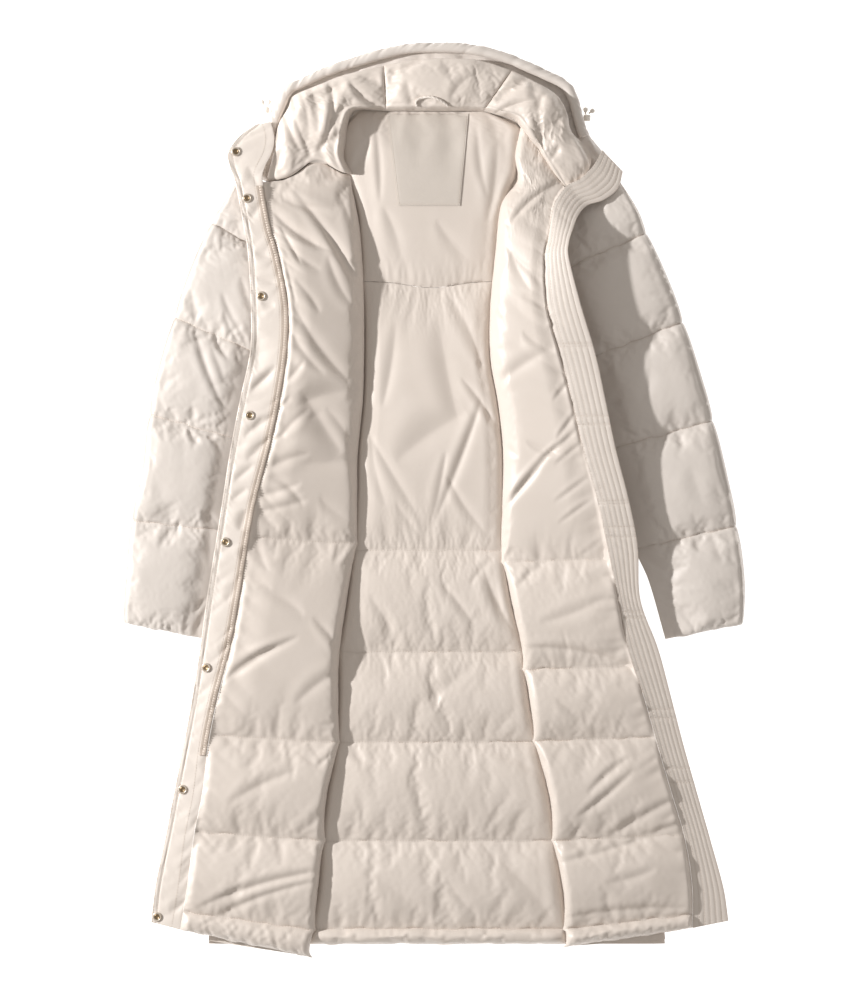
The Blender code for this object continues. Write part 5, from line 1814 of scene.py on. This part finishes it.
    def cord_locks(self) -> None:
        """Barrel locks with a sprung button, and the moulded ends of their cord."""
        for side, ((x, y), ends) in LOCKS.items():
            base = Vector(in_metres(x, y - self.lock_half, self.lock_height))
            self.mould(f"cord_lock_{side}", "barrel", LOCK_BARREL, 32, base, Vector((0, 1, 0)))
            for number, (end_x, end_y) in enumerate(ends, 1):
                top = Vector(in_metres(x + math.copysign(2.2, end_x - x), y + self.lock_half,
                                       self.lock_height))
                axis = (Vector(in_metres(end_x, end_y, self.lock_height)) - top).normalized()
                start = top + Vector((0, 0.4 + 1.3 * abs(axis.x), 0)) * MM
                self.mould(f"cord_end_{side}_{number}", "cap", CORD_END, 24, start, axis)

    def mould(self, node: str, part: str, profile: Profile, sides: int, place: Vector,
              axis: Vector) -> None:
        """Moulded piece that stands for a node, turned from a profile."""
        points, faces = turned(profile, sides, place, axis)
        declare(add_mesh(f"{node}_{part}", points, faces, self.finishes.moulded, sharp=40),
                Slot.LOCK, node)


# ---------------------------------------------------------------- studio and camera
@dataclass(frozen=True)
class Studio:
    """Pale floor, soft light, and a camera that looks straight down."""

    frame_height: float = 1.4
    distance: float = 8.0
    sensor: float = 36.0
    centre: tuple[float, float] = (0.0007, -0.0010)
    floor_half: float = 6.0
    floor_z: float = -0.0004
    key_elevation: float = 29.0
    key_turn: float = 14.0
    key_distance: float = 3.2
    key_power: float = 124.0
    key_size: float = 0.12
    fill: float = 0.46

    def build(self) -> None:
        """Set up the floor, the lights and the camera."""
        scene = bpy.context.scene
        scene.view_settings.view_transform = "Standard"
        self.build_camera(scene)
        self.build_floor()
        self.build_lights(scene)

    def build_camera(self, scene: bpy.types.Scene) -> None:
        """Long lens over the coat, its frame frame_height high on the floor."""
        data = bpy.data.cameras.new("camera")
        configure(data, sensor_fit="VERTICAL", sensor_height=self.sensor,
                  lens=self.sensor * self.distance / self.frame_height, clip_end=50.0)
        scene.camera = new_object("camera", data)
        scene.camera.location = (*self.centre, self.distance)

    def build_floor(self) -> None:
        """Wide pale sheet under the coat."""
        finish, tree, shader = new_material("pale_floor")
        tree.feed(shader, {"Base Color": (0.93, 0.93, 0.93, 1), "Roughness": 0.9,
                           "Emission Color": (1, 1, 1, 1), "Emission Strength": 0.85})
        corners = np.array([(x * self.floor_half, y * self.floor_half, self.floor_z)
                            for x, y in ((-1, -1), (1, -1), (1, 1), (-1, 1))])
        add_mesh("floor", corners, [[0, 1, 2, 3]], finish)

    def build_lights(self, scene: bpy.types.Scene) -> None:
        """Key light from the left, and even light from all round."""
        rise, turn = math.radians(self.key_elevation), math.radians(self.key_turn)
        direction = Vector((-math.cos(rise) * math.cos(turn), math.cos(rise) * math.sin(turn),
                            math.sin(rise)))
        data = bpy.data.lights.new("key", "AREA")
        configure(data, size=self.key_size, energy=self.key_power, color=(1.0, 0.99, 0.98))
        configure(new_object("key", data), location=direction * self.key_distance,
                  rotation_euler=direction.to_track_quat("Z", "Y").to_euler())
        world = bpy.data.worlds.new("even_light")
        world.use_nodes = True
        Tree(world.node_tree).feed(world.node_tree.nodes["Background"],
                                   {"Color": (1.0, 0.95, 0.895, 1), "Strength": self.fill})
        scene.world = world


def simulate(quilts: list[Quilt]) -> None:
    """Args:
        quilts: Pieces whose faces are laid out.
    """
    running = [(quilt, quilt.inflation.start(quilt.node, quilt.face)) for quilt in quilts]
    for number in range(1, 1 + max(quilt.inflation.frames for quilt in quilts)):
        bpy.context.scene.frame_set(number)
    for quilt, cloth in running:
        quilt.inflation.finish(cloth, quilt.face)
    bpy.context.scene.frame_set(1)


def main() -> None:
    """Build the studio and the coat, piece by piece."""
    logging.basicConfig(level=logging.INFO, format="%(message)s")
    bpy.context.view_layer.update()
    Studio().build()
    finishes = Wardrobe()
    sewing = Sewing()
    taut = Inflation(ease=0.009, bending=1.5, cap=4.5, margin=22)
    soft = Inflation(ease=0.022, bending=0.8)
    lining, shell = (finishes.lining, Slot.LINING), (finishes.shell, Slot.SHELL)
    quilts: list[Quilt] = [
        BackQuilt("back_panel", *lining, taut, gather_seed=3),
        BackQuilt("back_yoke", *lining, taut, seams=(546.5, 305.4), middle_columns=101,
                  pitch=2.2, gather_seed=15, uneven_hem=False),
        FrontQuilt("front_right", *lining, taut),
        FrontQuilt("front_left", *lining, taut, source=LEFT_FRONT, folds=LEFT_FOLDS,
                   seams=(522, -86, -235, -335, -474, -598, -622), crown=(4.0, 0.95),
                   gather_seed=40),
        SleeveQuilt("sleeve_right", *shell, soft),
        SleeveQuilt("sleeve_left", *shell, soft, source=LEFT_SLEEVE, gather_seed=80,
                    slope=((0, .52), (.10, .58), (.20, .69), (.32, .81))),
        HoodQuilt("hood_side_right", *lining, first=0, last=7),
        HoodQuilt("hood_centre", *lining, first=7, last=12),
        HoodQuilt("hood_side_left", *lining, first=12, last=19),
        HoodShellQuilt("hood_shell", *shell, fill=0.3),
    ]
    for quilt in quilts:
        quilt.lay_out()
    simulate(quilts)
    for quilt in quilts:
        quilt.dress(sewing, finishes.thread)
    placket = SnapPlacket("placket_right", finishes.facing, RIGHT_COLLAR, RIGHT_FRONT)
    placket.dress(sewing, finishes.thread, ("front_right", "sleeve_right"))
    ZipHalf(placket).dress(finishes, sewing)
    flap = StitchedFlap("placket_left", finishes.facing, LEFT_COLLAR, LEFT_FRONT, thickness=5.0,
                        columns=60)
    flap.dress(sewing, finishes.thread, ("front_left", "sleeve_left"))
    faces = {quilt.node: quilt.face for quilt in quilts}
    trims = Trims(finishes, sewing)
    trims.hood_band()
    trims.label_patch(faces["back_yoke"])
    trims.hanger_loop(faces["hood_centre"])
    trims.snaps(placket.face)
    trims.cord_locks()


if __name__ == "__main__":
    main()
